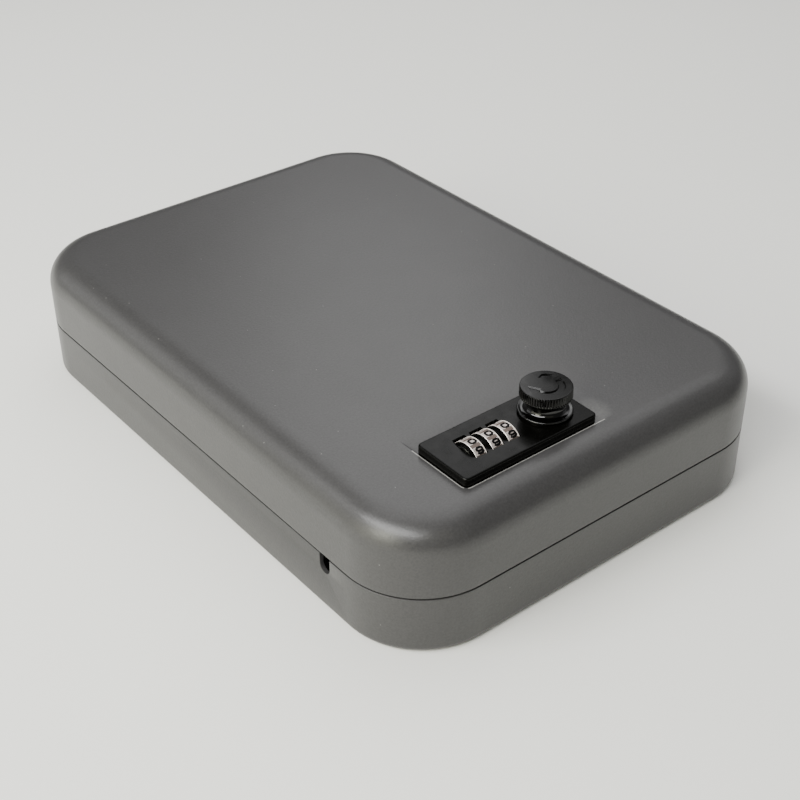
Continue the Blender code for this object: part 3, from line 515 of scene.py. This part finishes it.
def cable_notch():
    """Cutter for the round-bottomed notch in the base's left rim."""
    low_z = PARTING_Z - NOTCH_DEPTH + NOTCH_HALF
    count = 24
    outline = [(NOTCH_Y + NOTCH_HALF, PARTING_Z + 3), (NOTCH_Y - NOTCH_HALF, PARTING_Z + 3)]
    for i in range(count + 1):
        a = math.pi * i / count
        outline.append((NOTCH_Y - NOTCH_HALF * math.cos(a), low_z - NOTCH_HALF * math.sin(a)))
    bm = bmesh.new()
    near, far = ([bm.verts.new((x, y, z)) for y, z in outline] for x in (-WIDTH / 2 - 2, -WIDTH / 2 + 3))
    bridge(bm, near, far)
    bm.faces.new(near)
    bm.faces.new(list(reversed(far)))
    return made("notch", bm, None)


def base_shell():
    bm = bmesh.new()
    loops = sweep(bm, wall_profile(BASE_EDGE_R, 0.0, PARTING_Z - RIM_GAP / 2, -1))
    bm.faces.new(loops[0])
    bm.faces.new(loops[-1])
    shell = made("base_shell_skin", bm, "base")
    slot = hinge_slot("base_slot", PARTING_Z - SLOT_HALF_Z, PARTING_Z + 2)
    cut(shell, slot, cable_notch(), bevel=0.18, limit=60)
    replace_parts(paint(shell, COAT), "base_shell")


# ---------------------------------------------------------------- lock plate, collar and knob
def slot_outline(dial_x):
    """A dial's slot: straight but for a bow on its left."""
    left, right = dial_x - BAND / 2 - 0.25, dial_x + BAND / 2 + GAP
    front, rear = LOCK_Y - SLOT_FRONT, LOCK_Y + SLOT_REAR
    half, middle = (rear - front) / 2, (rear + front) / 2
    radius = (half**2 + SLOT_BOW**2) / (2 * SLOT_BOW)
    centre = left - SLOT_BOW + radius
    points = [(right, front), (right, rear)]
    spread = math.asin(half / radius)
    count = 20
    for i in range(count + 1):
        a = spread - 2 * spread * i / count
        points.append((centre - radius * math.cos(a), middle + radius * math.sin(a)))
    return points


def wheel_rooms(dial_x):
    """Cutters for what one wheel needs below its slot: (radius, left end, right end) from its middle."""
    half, past_band = BAND / 2, 0.27
    rooms = (
        (DIAL_R + GAP, -half - past_band, half + past_band),
        (GRIP_R + GAP, -half - GRIP_SHEET - 0.2, 0.1),
        (3.9, -0.1, half + 1.2),
    )
    return [
        cutter_rod("room", radius, (dial_x + left, LOCK_Y, DIAL_Z), (dial_x + right, LOCK_Y, DIAL_Z), 64)
        for radius, left, right in rooms
    ]


def lock_plate():
    bm = bmesh.new()
    centre = ((PLATE_LOW_X + PLATE_HIGH_X) / 2, LOCK_Y)
    half_x = (PLATE_HIGH_X - PLATE_LOW_X) / 2
    edge, corner, foot = 0.75, 1.9, 0.15
    section = [(edge - edge * math.sin(t), PLATE_TOP - edge * (1 - math.cos(t))) for t in quarter_turn(8)]
    section += [(0, PLATE_BOTTOM + foot), (foot, PLATE_BOTTOM)]
    loops = []
    for inset, z in section:
        points = rounded_loop(half_x - inset, PLATE_HALF_Y - inset, corner - inset, 10, centre)
        loops.append(ring(bm, points, z))
    bridge_all(bm, loops)
    bm.faces.new(loops[0])
    bm.faces.new(loops[-1])
    plate = made("lock_plate_face", bm, "lid")
    cutters = []
    for dial_x in DIAL_X:
        cutters.append(cutter_prism("slot", slot_outline(dial_x), PLATE_BOTTOM - 1, PLATE_TOP + 1))
        cutters += wheel_rooms(dial_x)
    axle_low, axle_high = (DIAL_X[0] - 6.8, LOCK_Y, DIAL_Z), (DIAL_X[-1] + 5.2, LOCK_Y, DIAL_Z)
    cutters.append(cutter_rod("axle_room", 1.45, axle_low, axle_high, 32))
    spindle_hole = ((KNOB_X, LOCK_Y), 3.3, 53)
    screw_holes = [(at, PLATE_SCREW_R, PLATE_SCREW_TOP) for at in (SCREW_LEFT, SCREW_REAR)]
    for at, radius, high_z in (spindle_hole, *screw_holes):
        cutters.append(cutter_rod("plate_hole", radius, (*at, PLATE_BOTTOM - 1), (*at, high_z), 32))
    cut(plate, *cutters, bevel=0.14, limit=60)
    flatten_shading(plate)
    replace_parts(paint(plate, PLATE_BLACK), "lock_plate")


def collar():
    base, bore, top = PLATE_TOP + 0.02, NECK_R + GAP, COLLAR_TOP
    rim_r, foot_r = 0.42, COLLAR_R - 0.5
    rim_x, rim_z = COLLAR_R - rim_r, base + 0.9
    profile = [(bore, base), (foot_r - 0.2, base), (foot_r, base + 0.15), (foot_r + 0.04, rim_z - rim_r)]
    for i in range(11):
        t = math.radians(-60 + 180 * i / 10)
        profile.append((rim_x + rim_r * math.cos(t), rim_z + rim_r * math.sin(t)))
    top_r, start_x, start_z = bore + 0.6, rim_x - rim_r * 0.5, rim_z + rim_r * 0.87
    for t in quarter_turn(14)[1:]:
        out = start_x - (start_x - top_r) * math.sin(t)
        profile.append((out, start_z - 0.3 * math.sin(2 * t) + (top - start_z - 0.1) * (1 - math.cos(t))))
    profile += [(top_r - 0.12, top), (bore + 0.1, top), (bore, top - 0.12)]
    bm = bmesh.new()
    sides = 96
    loops = [lap(bm, sides, z, [radius] * sides) for radius, z in profile]
    bridge_all(bm, loops)
    bridge(bm, loops[-1], loops[0])
    piece = made("collar_flare", bm, "lid")
    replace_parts(paint(piece, GLOSS_BLACK), "knob_collar")


def lap(bm, count, z, radii):
    """One closed loop of vertices round the knob's axis."""
    loop = []
    for i, radius in enumerate(radii):
        a = 2 * math.pi * i / count
        loop.append(bm.verts.new((KNOB_X + radius * math.cos(a), LOCK_Y + radius * math.sin(a), z)))
    return loop


def engraved_band(inner, outer, start, end, count, head):
    """Outline of a curved stroke about the knob's axis, with (radius, degrees) points for its head."""
    angles = [math.radians(start + (end - start) * i / count) for i in range(count + 1)]
    points = [(outer * math.cos(a), outer * math.sin(a)) for a in angles]
    for radius, degrees in head:
        a = math.radians(degrees)
        points.append((radius * math.cos(a), radius * math.sin(a)))
    points += [(inner * math.cos(a), inner * math.sin(a)) for a in reversed(angles)]
    return [(KNOB_X + x, LOCK_Y + y) for x, y in points]


def arrow_outline():
    """Curved arrow that runs clockwise, with a barb on each side."""
    end = -168.0
    outer_barb, inner_barb, tip = (7.0, end), (2.9, end), (5.9, end - 44)
    return engraved_band(3.9, 6.0, 0.0, end, 30, (outer_barb, tip, inner_barb))


def mark_outline():
    """Short dash with a pointed end, opposite the arrow."""
    end = 60.0
    return engraved_band(3.6, 6.4, 32.0, end, 8, [(5.0, end + 18)])


def knob():
    teeth, per_tooth, knurl_depth, engraved = 60, 6, 0.45, 0.45
    count = teeth * per_tooth
    top, low = KNOB_TOP, KNOB_LOW
    # (inset from the rim, height, how deep the knurl is there)
    section = [(0.62, top, 0), (0.36, top - 0.03, 0.05), (0.17, top - 0.12, 0.4), (0.05, top - 0.25, 0.85)]
    section += [(0.0, top - 0.42, 1), (0.0, top - 1.0, 1), (0.0, low + 0.62, 1)]
    section += [(0.0, low + 0.4, 0.55), (0.02, low + 0.24, 0.12), (0.12, low + 0.08, 0), (0.32, low, 0)]
    waves = [(0.5 - 0.5 * math.cos(2 * math.pi * i / per_tooth)) ** 0.7 for i in range(count)]
    bm = bmesh.new()
    loops = []
    for inset, z, depth in section:
        loops.append(lap(bm, count, z, [KNOB_R - inset - knurl_depth * depth * wave for wave in waves]))
    neck = [(NECK_R + 0.5, low), (NECK_R + 0.12, low - 0.1), (NECK_R, low - 0.4), (NECK_R, PLATE_TOP + 0.4)]
    loops += [lap(bm, count, z, [radius] * count) for radius, z in neck]
    bridge_all(bm, loops)
    bm.faces.new(loops[0])
    bm.faces.new(loops[-1])
    head = made("knob_head", bm, "knob", 30)
    cutters = [
        cutter_prism("engraving", outline, top - engraved, top + 1)
        for outline in (arrow_outline(), mark_outline())
    ]
    cutters.append(cutter_rod("knob_bore", 2.8, (KNOB_X, LOCK_Y, PLATE_TOP), (KNOB_X, LOCK_Y, top - 2.2), 48))
    cut(head, *cutters, bevel=0.38, limit=60, segments=1)
    flatten_shading(head)
    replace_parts(paint(head, KNOB_BLACK), "knob")


# ---------------------------------------------------------------- number wheels
# Pen strokes on a square from -0.5 to 0.5, one list of strokes for each digit.
DIGITS = {
    0: [[(-0.5, 0.28), (-0.5, -0.28), (-0.28, -0.5), (0.28, -0.5), (0.5, -0.28), (0.5, 0.28), (0.28, 0.5),
         (-0.28, 0.5), (-0.5, 0.28)]],
    1: [[(-0.22, 0.3), (0.06, 0.5), (0.06, -0.5)]],
    2: [[(-0.48, 0.28), (-0.28, 0.5), (0.3, 0.5), (0.5, 0.3), (0.5, 0.12), (-0.48, -0.5), (0.5, -0.5)]],
    3: [[(-0.48, 0.32), (-0.28, 0.5), (0.28, 0.5), (0.5, 0.3), (0.5, 0.2), (0.3, 0.02), (-0.1, 0.02)],
        [(0.3, 0.02), (0.5, -0.16), (0.5, -0.3), (0.28, -0.5), (-0.28, -0.5), (-0.48, -0.32)]],
    4: [[(0.26, -0.5), (0.26, 0.5), (-0.5, -0.18), (0.5, -0.18)]],
    5: [[(0.46, 0.5), (-0.46, 0.5), (-0.48, 0.06), (0.26, 0.1), (0.5, -0.1), (0.5, -0.28), (0.28, -0.5),
         (-0.28, -0.5), (-0.5, -0.32)]],
    6: [[(0.46, 0.36), (0.26, 0.5), (-0.28, 0.5), (-0.5, 0.28), (-0.5, -0.28), (-0.28, -0.5), (0.28, -0.5),
         (0.5, -0.3), (0.5, -0.12), (0.28, 0.06), (-0.48, 0.06)]],
    7: [[(-0.5, 0.5), (0.5, 0.5), (0.0, -0.5)]],
    8: [[(0.0, 0.03), (-0.26, 0.03), (-0.44, 0.2), (-0.44, 0.34), (-0.26, 0.5), (0.26, 0.5), (0.44, 0.34),
         (0.44, 0.2), (0.26, 0.03), (-0.3, 0.03), (-0.5, -0.16), (-0.5, -0.32), (-0.3, -0.5), (0.3, -0.5),
         (0.5, -0.32), (0.5, -0.16), (0.3, 0.03), (0.0, 0.03)]],
    9: [[(0.48, -0.06), (-0.28, -0.06), (-0.5, 0.12), (-0.5, 0.3), (-0.28, 0.5), (0.28, 0.5), (0.5, 0.28),
         (0.5, -0.28), (0.28, -0.5), (-0.3, -0.5), (-0.48, -0.36)]],
}
DIGIT_W, DIGIT_H, STROKE, DIGIT_SHIFT = 2.15, 1.95, 0.72, 0.3
DIGIT_OFFSET = 0.2  # degrees that digit 0 stands in front of the top


def on_band(dial_x, u, v, angle, radius):
    """A point u across and v up from the middle of a digit that sits at an angle towards the front."""
    a = math.radians(angle) - v / radius
    return Vector((dial_x + u, LOCK_Y - radius * math.sin(a), DIAL_Z + radius * math.cos(a)))


def square_tube(bm, rows, closed=False):
    """Faces along rows of four vertices, with end faces unless the rows close up."""
    pairs = list(zip(rows, rows[1:])) + ([(rows[-1], rows[0])] if closed else [])
    for a, b in pairs:
        for k in range(4):
            bm.faces.new((a[k], a[(k + 1) % 4], b[(k + 1) % 4], b[k]))
    if not closed:
        bm.faces.new(rows[0])
        bm.faces.new(list(reversed(rows[-1])))


def stroke_strip(bm, path, dial_x, angle):
    """One pen stroke as a thin closed strip that lies on the band."""
    points = [Vector((x * DIGIT_W + DIGIT_SHIFT, y * DIGIT_H)) for x, y in path]
    closed = (points[0] - points[-1]).length < 1e-6
    if closed:
        points = points[:-1]
    count = len(points)
    half = STROKE / 2
    low_r, high_r = DIAL_R - 0.1, DIAL_R - 0.02
    rows = []
    for i, point in enumerate(points):
        before = points[i - 1] if (closed or i > 0) else None
        after = points[(i + 1) % count] if (closed or i < count - 1) else None
        first = (point - before).normalized() if before is not None else (after - point).normalized()
        second = (after - point).normalized() if after is not None else first
        side = Vector((-first.y, first.x))
        normal = (side + Vector((-second.y, second.x))).normalized()
        reach = min(half / max(normal.dot(side), 0.4), 2 * half)
        if before is None:
            point = point - second * half * 0.5
        if after is None:
            point = point + first * half * 0.5
        left, right = point + normal * reach, point - normal * reach
        corners = ((left, low_r), (left, high_r), (right, high_r), (right, low_r))
        rows.append([bm.verts.new(on_band(dial_x, p.x, p.y, angle, r)) for p, r in corners])
    square_tube(bm, rows, closed)


def band_section():
    """The band's section as (x, radius), closed from its last point to its first."""
    half, rim, shoulder = BAND / 2, 0.3, 0.08
    floor, edge = DIAL_R - 0.14, 0.1
    left = [
        (-half, RING_INNER_R),
        (-half, DIAL_R - edge),
        (-half + edge, DIAL_R),
        (-half + rim - shoulder, DIAL_R),
        (-half + rim, floor),
    ]
    return left + [(-x, radius) for x, radius in reversed(left)]


def number_band(index, dial_x):
    """Silver band: raised rims, a shallow bright cell for each digit and a brushed bar between cells."""
    steps = 180
    pitch = steps // len(DIGITS)
    left_face, floor_face, right_face = 0, 4, 8
    cell_slot, separator_slot, side_slot = 1, 2, 3
    bm = bmesh.new()
    loops = []
    for x, radius in band_section():
        loop = []
        for i in range(steps):
            a = math.radians(360 * i / steps + DIGIT_OFFSET)
            place = (dial_x + x, LOCK_Y - radius * math.sin(a), DIAL_Z + radius * math.cos(a))
            loop.append(bm.verts.new(place))
        loops.append(loop)
    for k, first in enumerate(loops):
        second = loops[(k + 1) % len(loops)]
        for i in range(steps):
            j = (i + 1) % steps
            face = bm.faces.new((first[i], first[j], second[j], second[i]))
            if k in (left_face, right_face):
                face.material_index = side_slot
            elif k == floor_face:
                from_bar = (i + pitch // 2) % pitch
                face.material_index = separator_slot if from_bar < 3 or from_bar >= pitch - 3 else cell_slot
    band = made(f"number_band_{index}_ring", bm, f"dial_{index}", 30)
    paint(band, SILVER, CELL, SEPARATOR, CORE_BLACK)
    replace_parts(band, f"number_band_{index}")
    bm = bmesh.new()
    for digit, strokes in DIGITS.items():
        for path in strokes:
            stroke_strip(bm, path, dial_x, DIGIT_OFFSET - 36.0 * digit)
    digits = made(f"digits_{index}", bm, f"dial_{index}")
    paint(digits, INK)
    bm = bmesh.new()
    for k in range(len(DIGITS)):
        frame_bar(bm, dial_x, DIGIT_OFFSET + 18 + 36 * k)
    bars = made(f"cell_frames_{index}", bm, f"dial_{index}")
    paint(bars, SILVER)


def frame_bar(bm, dial_x, angle):
    """Two thin raised lines that border the brushed bar between two cells."""
    half, off_middle = BAND / 2 - 0.4, 0.78
    low_r, high_r = DIAL_R - 0.2, DIAL_R - 0.04
    for middle in (-off_middle, off_middle):
        corners = ((-0.09, low_r), (-0.06, high_r), (0.06, high_r), (0.09, low_r))
        rows = []
        for u in (-half, half):
            rows.append([bm.verts.new(on_band(dial_x, u, middle + dv, angle, r)) for dv, r in corners])
        square_tube(bm, rows)


def dial_core(index, dial_x):
    """Black core with a ratchet-toothed rim on its left and a dished face."""
    teeth, per_tooth, tooth_depth = 20, 8, 0.55
    count = teeth * per_tooth
    half = BAND / 2
    left = half + GRIP_SHEET
    # (x, radius, how deep the teeth are there)
    section = [
        (-left, CORE_BORE_R, 0),
        (-left, GRIP_R - 1.2, 0),
        (-left + 0.12, GRIP_R - 1.0, 0),
        (-left + 0.12, GRIP_R - 0.75, 0.3),
        (-left, GRIP_R - 0.62, 0.7),
        (-left, GRIP_R - 0.1, 1),
        (-left + 0.08, GRIP_R, 1),
        (-half - 0.12, GRIP_R, 1),
        (-half - 0.1, GRIP_R - 1.2, 0),
        (-half + 0.02, GRIP_R - 1.1, 0),
        (-half + 0.02, CORE_R, 0),
        (half - 0.02, CORE_R, 0),
        (half - 0.02, CORE_BORE_R, 0),
    ]
    bm = bmesh.new()
    loops = []
    for x, radius, depth in section:
        loop = []
        for i in range(count):
            a = 2 * math.pi * i / count
            r = radius - tooth_depth * depth * ((i % per_tooth) / per_tooth)
            loop.append(bm.verts.new((dial_x + x, LOCK_Y + r * math.cos(a), DIAL_Z + r * math.sin(a))))
        loops.append(loop)
    bridge_all(bm, [*loops, loops[0]])
    core = made(f"dial_core_{index}_wheel", bm, f"dial_{index}", 28)
    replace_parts(paint(core, CORE_BLACK), f"dial_core_{index}")


# ---------------------------------------------------------------- foam
def foam_pad(name, node_name, body, low_z, high_z, edge_r, facing, skip=None):
    """Convoluted foam with rounded peaks towards the box's inside and a back that follows the shell's edge.

    facing is 1 where the peaks point up and -1 where they point down; skip is a rectangle that stays free.
    """
    inset = SHEET + 2.2
    half_x, half_y, corner = WIDTH / 2 - inset, LENGTH / 2 - inset, CORNER_R - inset
    peak_pitch, step = 13.0, 1.3
    nx, ny = int(2 * half_x / step), int(2 * half_y / step)
    bm = bmesh.new()

    def inside(x, y):
        dx, dy = abs(x) - (half_x - corner), abs(y) - (half_y - corner)
        if dx > 0 and dy > 0 and dx * dx + dy * dy > corner * corner:
            return False
        if skip and skip[0] < x < skip[2] and skip[1] < y < skip[3]:
            return False
        return abs(x) <= half_x and abs(y) <= half_y

    def margin(x, y):
        dx, dy = abs(x) - (half_x - corner), abs(y) - (half_y - corner)
        if dx > 0 and dy > 0:
            edge = corner - math.hypot(dx, dy)
        else:
            edge = min(half_x - abs(x), half_y - abs(y))
        if skip:
            ox = max(skip[0] - x, x - skip[2], 0)
            oy = max(skip[1] - y, y - skip[3], 0)
            edge = min(edge, math.hypot(ox, oy))
        return edge

    def back_drop(edge):
        """How far the pad's back stays off the face's level, that close to the pad's edge."""
        reach = edge_r - inset - edge
        inner_r = edge_r - SHEET - 0.4
        return inner_r - math.sqrt(max(inner_r**2 - reach**2, 0)) if reach > 0 else 0.0

    thick = high_z - low_z
    swell, edge_fall, edge_width = min(4.2, thick * 0.5), min(2.2, thick * 0.3), 4.0
    grid = {}
    for i in range(nx + 1):
        for j in range(ny + 1):
            x, y = -half_x + 2 * half_x * i / nx, -half_y + 2 * half_y * j / ny
            if not inside(x, y):
                continue
            peak = 0.5 + 0.5 * math.sin(2 * math.pi * x / peak_pitch) * math.sin(2 * math.pi * y / peak_pitch)
            soft = min(1.0, margin(x, y) / edge_width)
            height = thick - swell * (1 - peak**0.8) - (1 - soft) ** 2 * edge_fall
            drop = back_drop(margin(x, y))
            start = low_z if facing > 0 else high_z
            back, face = start + facing * drop, start + facing * height
            grid[i, j] = (bm.verts.new((x, y, back)), bm.verts.new((x, y, face)))
    quads = []
    for i in range(nx):
        for j in range(ny):
            keys = ((i, j), (i + 1, j), (i + 1, j + 1), (i, j + 1))
            if all(k in grid for k in keys):
                quads.append(keys)
    edges = {}
    for keys in quads:
        bm.faces.new([grid[k][1] for k in keys])
        bm.faces.new([grid[k][0] for k in reversed(keys)])
        for a, b in zip(keys, keys[1:] + keys[:1]):
            edges[a, b] = edges.get((a, b), 0) + 1
    for a, b in list(edges):
        if (b, a) not in edges:
            bm.faces.new((grid[a][0], grid[b][0], grid[b][1], grid[a][1]))
    loose = [v for v in bm.verts if not v.link_faces]
    bmesh.ops.delete(bm, geom=loose, context="VERTS")
    pad = made(name, bm, body, 60)
    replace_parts(paint(pad, FOAM), node_name)


lid_shell()
base_shell()
lock_plate()
collar()
knob()
for number, where in enumerate(DIAL_X, 1):
    number_band(number, where)
    dial_core(number, where)
foam_low, foam_high = SHEET + GAP, HEIGHT - SHEET - GAP
foam_pad("base_foam_pad", "base_foam", "base", foam_low, foam_low + 6, BASE_EDGE_R, 1)
lock_room = (PLATE_LOW_X - 4, -LENGTH / 2, PLATE_HIGH_X + 8, LOCK_Y + PLATE_HALF_Y + 6)
foam_pad("lid_foam_pad", "lid_foam", "lid", foam_high - 10, foam_high, LID_EDGE_R, -1, skip=lock_room)

# ---------------------------------------------------------------- CAD nodes that stay
# Each one's material and the width of its softened edges in millimetres.
STAYS = {
    "anti_pry_strip": (PLATE_BLACK, 0.15),
    "strike_bracket": (ZINC, 0.25),
    "hinge_leaf_base": (COAT, 0.12),
    "hinge_leaf_lid": (COAT, 0.12),
    "hinge_pin": (ZINC, 0.15),
    "lock_housing": (PLATE_BLACK, 0.15),
    "lock_back_cover": (PLATE_BLACK, 0.2),
    "lock_screw_left": (ZINC, 0.06),
    "lock_screw_rear": (ZINC, 0.06),
    "dial_axle": (ZINC, 0.1),
    "detent_spring": (DARK_STEEL, 0.05),
    "spindle": (ZINC, 0.1),
    "latch_cam": (ZINC, 0.2),
    "cam_washer": (ZINC, 0.08),
    "cam_nut": (ZINC, 0.2),
    "fence_plate": (ZINC, 0.06),
    "reset_lever": (ZINC, 0.2),
    "code_sleeve_1": (ZINC, 0.05),
    "code_sleeve_2": (ZINC, 0.05),
    "code_sleeve_3": (ZINC, 0.05),
}
for cad_name, (look, width) in STAYS.items():
    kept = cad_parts[cad_name]
    flatten_shading(soften(kept, width))
    paint(kept, look)

# ---------------------------------------------------------------- floor, light and camera
floor_mat, floor_tree, floor_bsdf = shader("floor_paper", (0.92, 0.92, 0.88), 0.8, specular=0.1)
floor_tone = ramp(floor_tree, noise(floor_tree, 3, 2), (0.915, 0.915, 0.875), (0.925, 0.925, 0.885))
floor_tree.links.new(floor_tone, floor_bsdf.inputs["Base Color"])
FLOOR_HALF, FLOOR_Z = 3000, -0.02
floor_bm = bmesh.new()
bmesh.ops.create_grid(floor_bm, x_segments=1, y_segments=1, size=FLOOR_HALF)
bmesh.ops.translate(floor_bm, verts=floor_bm.verts, vec=(0, 0, FLOOR_Z))
floor = made("floor", floor_bm, None)
paint(floor, floor_mat)

world = bpy.data.worlds.new("studio")
bpy.context.scene.world = world
world.use_nodes = True
sky = world.node_tree.nodes["Background"]
sky.inputs["Color"].default_value = (1.0, 1.0, 1.0, 1)
sky.inputs["Strength"].default_value = 0.16


def area_light(name, location, target_z, width, height, watts, color=(1, 1, 1)):
    """A rectangular lamp, placed in metres, that faces the box's middle at a height."""
    data = bpy.data.lights.new(name, "AREA")
    data.shape = "RECTANGLE"
    data.size, data.size_y = width, height
    data.energy = watts
    data.color = color
    lamp = bpy.data.objects.new(name, data)
    bpy.context.scene.collection.objects.link(lamp)
    lamp.location = location
    lamp.rotation_mode = "QUATERNION"
    lamp.rotation_quaternion = (Vector((0, 0, target_z)) - Vector(location)).to_track_quat("-Z", "Y")


area_light("key_left", (-0.8, -0.12, 0.93), 0.02, 1.35, 0.26, 20.3)
area_light("key_low_left", (-0.95, -0.15, 0.55), 0.02, 0.4, 0.4, 5.4, (1.0, 1.0, 0.84))
area_light("side_left", (-0.9, 0.0, 0.25), 0.02, 1.0, 0.4, 3.1, (1.0, 1.0, 0.8))
area_light("rear_left", (-0.6, 0.7, 0.4), 0.02, 0.5, 0.5, 1.1)
area_light("overhead", (0.3, 0.2, 0.9), 0.02, 1.1, 1.1, 4.9)
area_light("rear_low", (0.42, 0.52, 0.47), 0.05, 0.25, 0.25, 0.36)
area_light("rear_high", (0.22, 0.28, 0.78), 0.05, 0.7, 0.7, 1.0)
area_light("right", (0.9, -0.2, 0.5), 0.02, 0.5, 0.5, 0.25)
area_light("front", (-0.25, -0.75, 0.6), 0.02, 0.7, 0.35, 0.25, (1.0, 1.0, 0.7))

# The camera, solved from the photo's outline: angles in degrees, lengths in millimetres.
AZIMUTH, ELEVATION, DISTANCE, ROLL = -38.495, 34.473, 519.103, -0.288
FOCAL_PX, PICTURE_PX, SENSOR, TARGET = 1434.707, 800.0, 36.0, (-11.437, -26.708, 22.0)
az, el, roll = math.radians(AZIMUTH), math.radians(ELEVATION), math.radians(ROLL)
back = Vector((math.sin(az) * math.cos(el), -math.cos(az) * math.cos(el), math.sin(el)))
right = Vector((0, 0, 1)).cross(back).normalized()
up = back.cross(right)
right, up = right * math.cos(roll) + up * math.sin(roll), up * math.cos(roll) - right * math.sin(roll)
where = (Vector(TARGET) + back * DISTANCE) * MM
camera_data = bpy.data.cameras.new("camera")
camera = bpy.data.objects.new("camera", camera_data)
bpy.context.scene.collection.objects.link(camera)
camera_data.sensor_width = SENSOR
camera_data.lens = FOCAL_PX * SENSOR / PICTURE_PX
camera_data.clip_start, camera_data.clip_end = 0.01, 50.0
camera.matrix_world = Matrix(
    (
        (right.x, up.x, back.x, where.x),
        (right.y, up.y, back.y, where.y),
        (right.z, up.z, back.z, where.z),
        (0, 0, 0, 1),
    )
)
bpy.context.scene.camera = camera
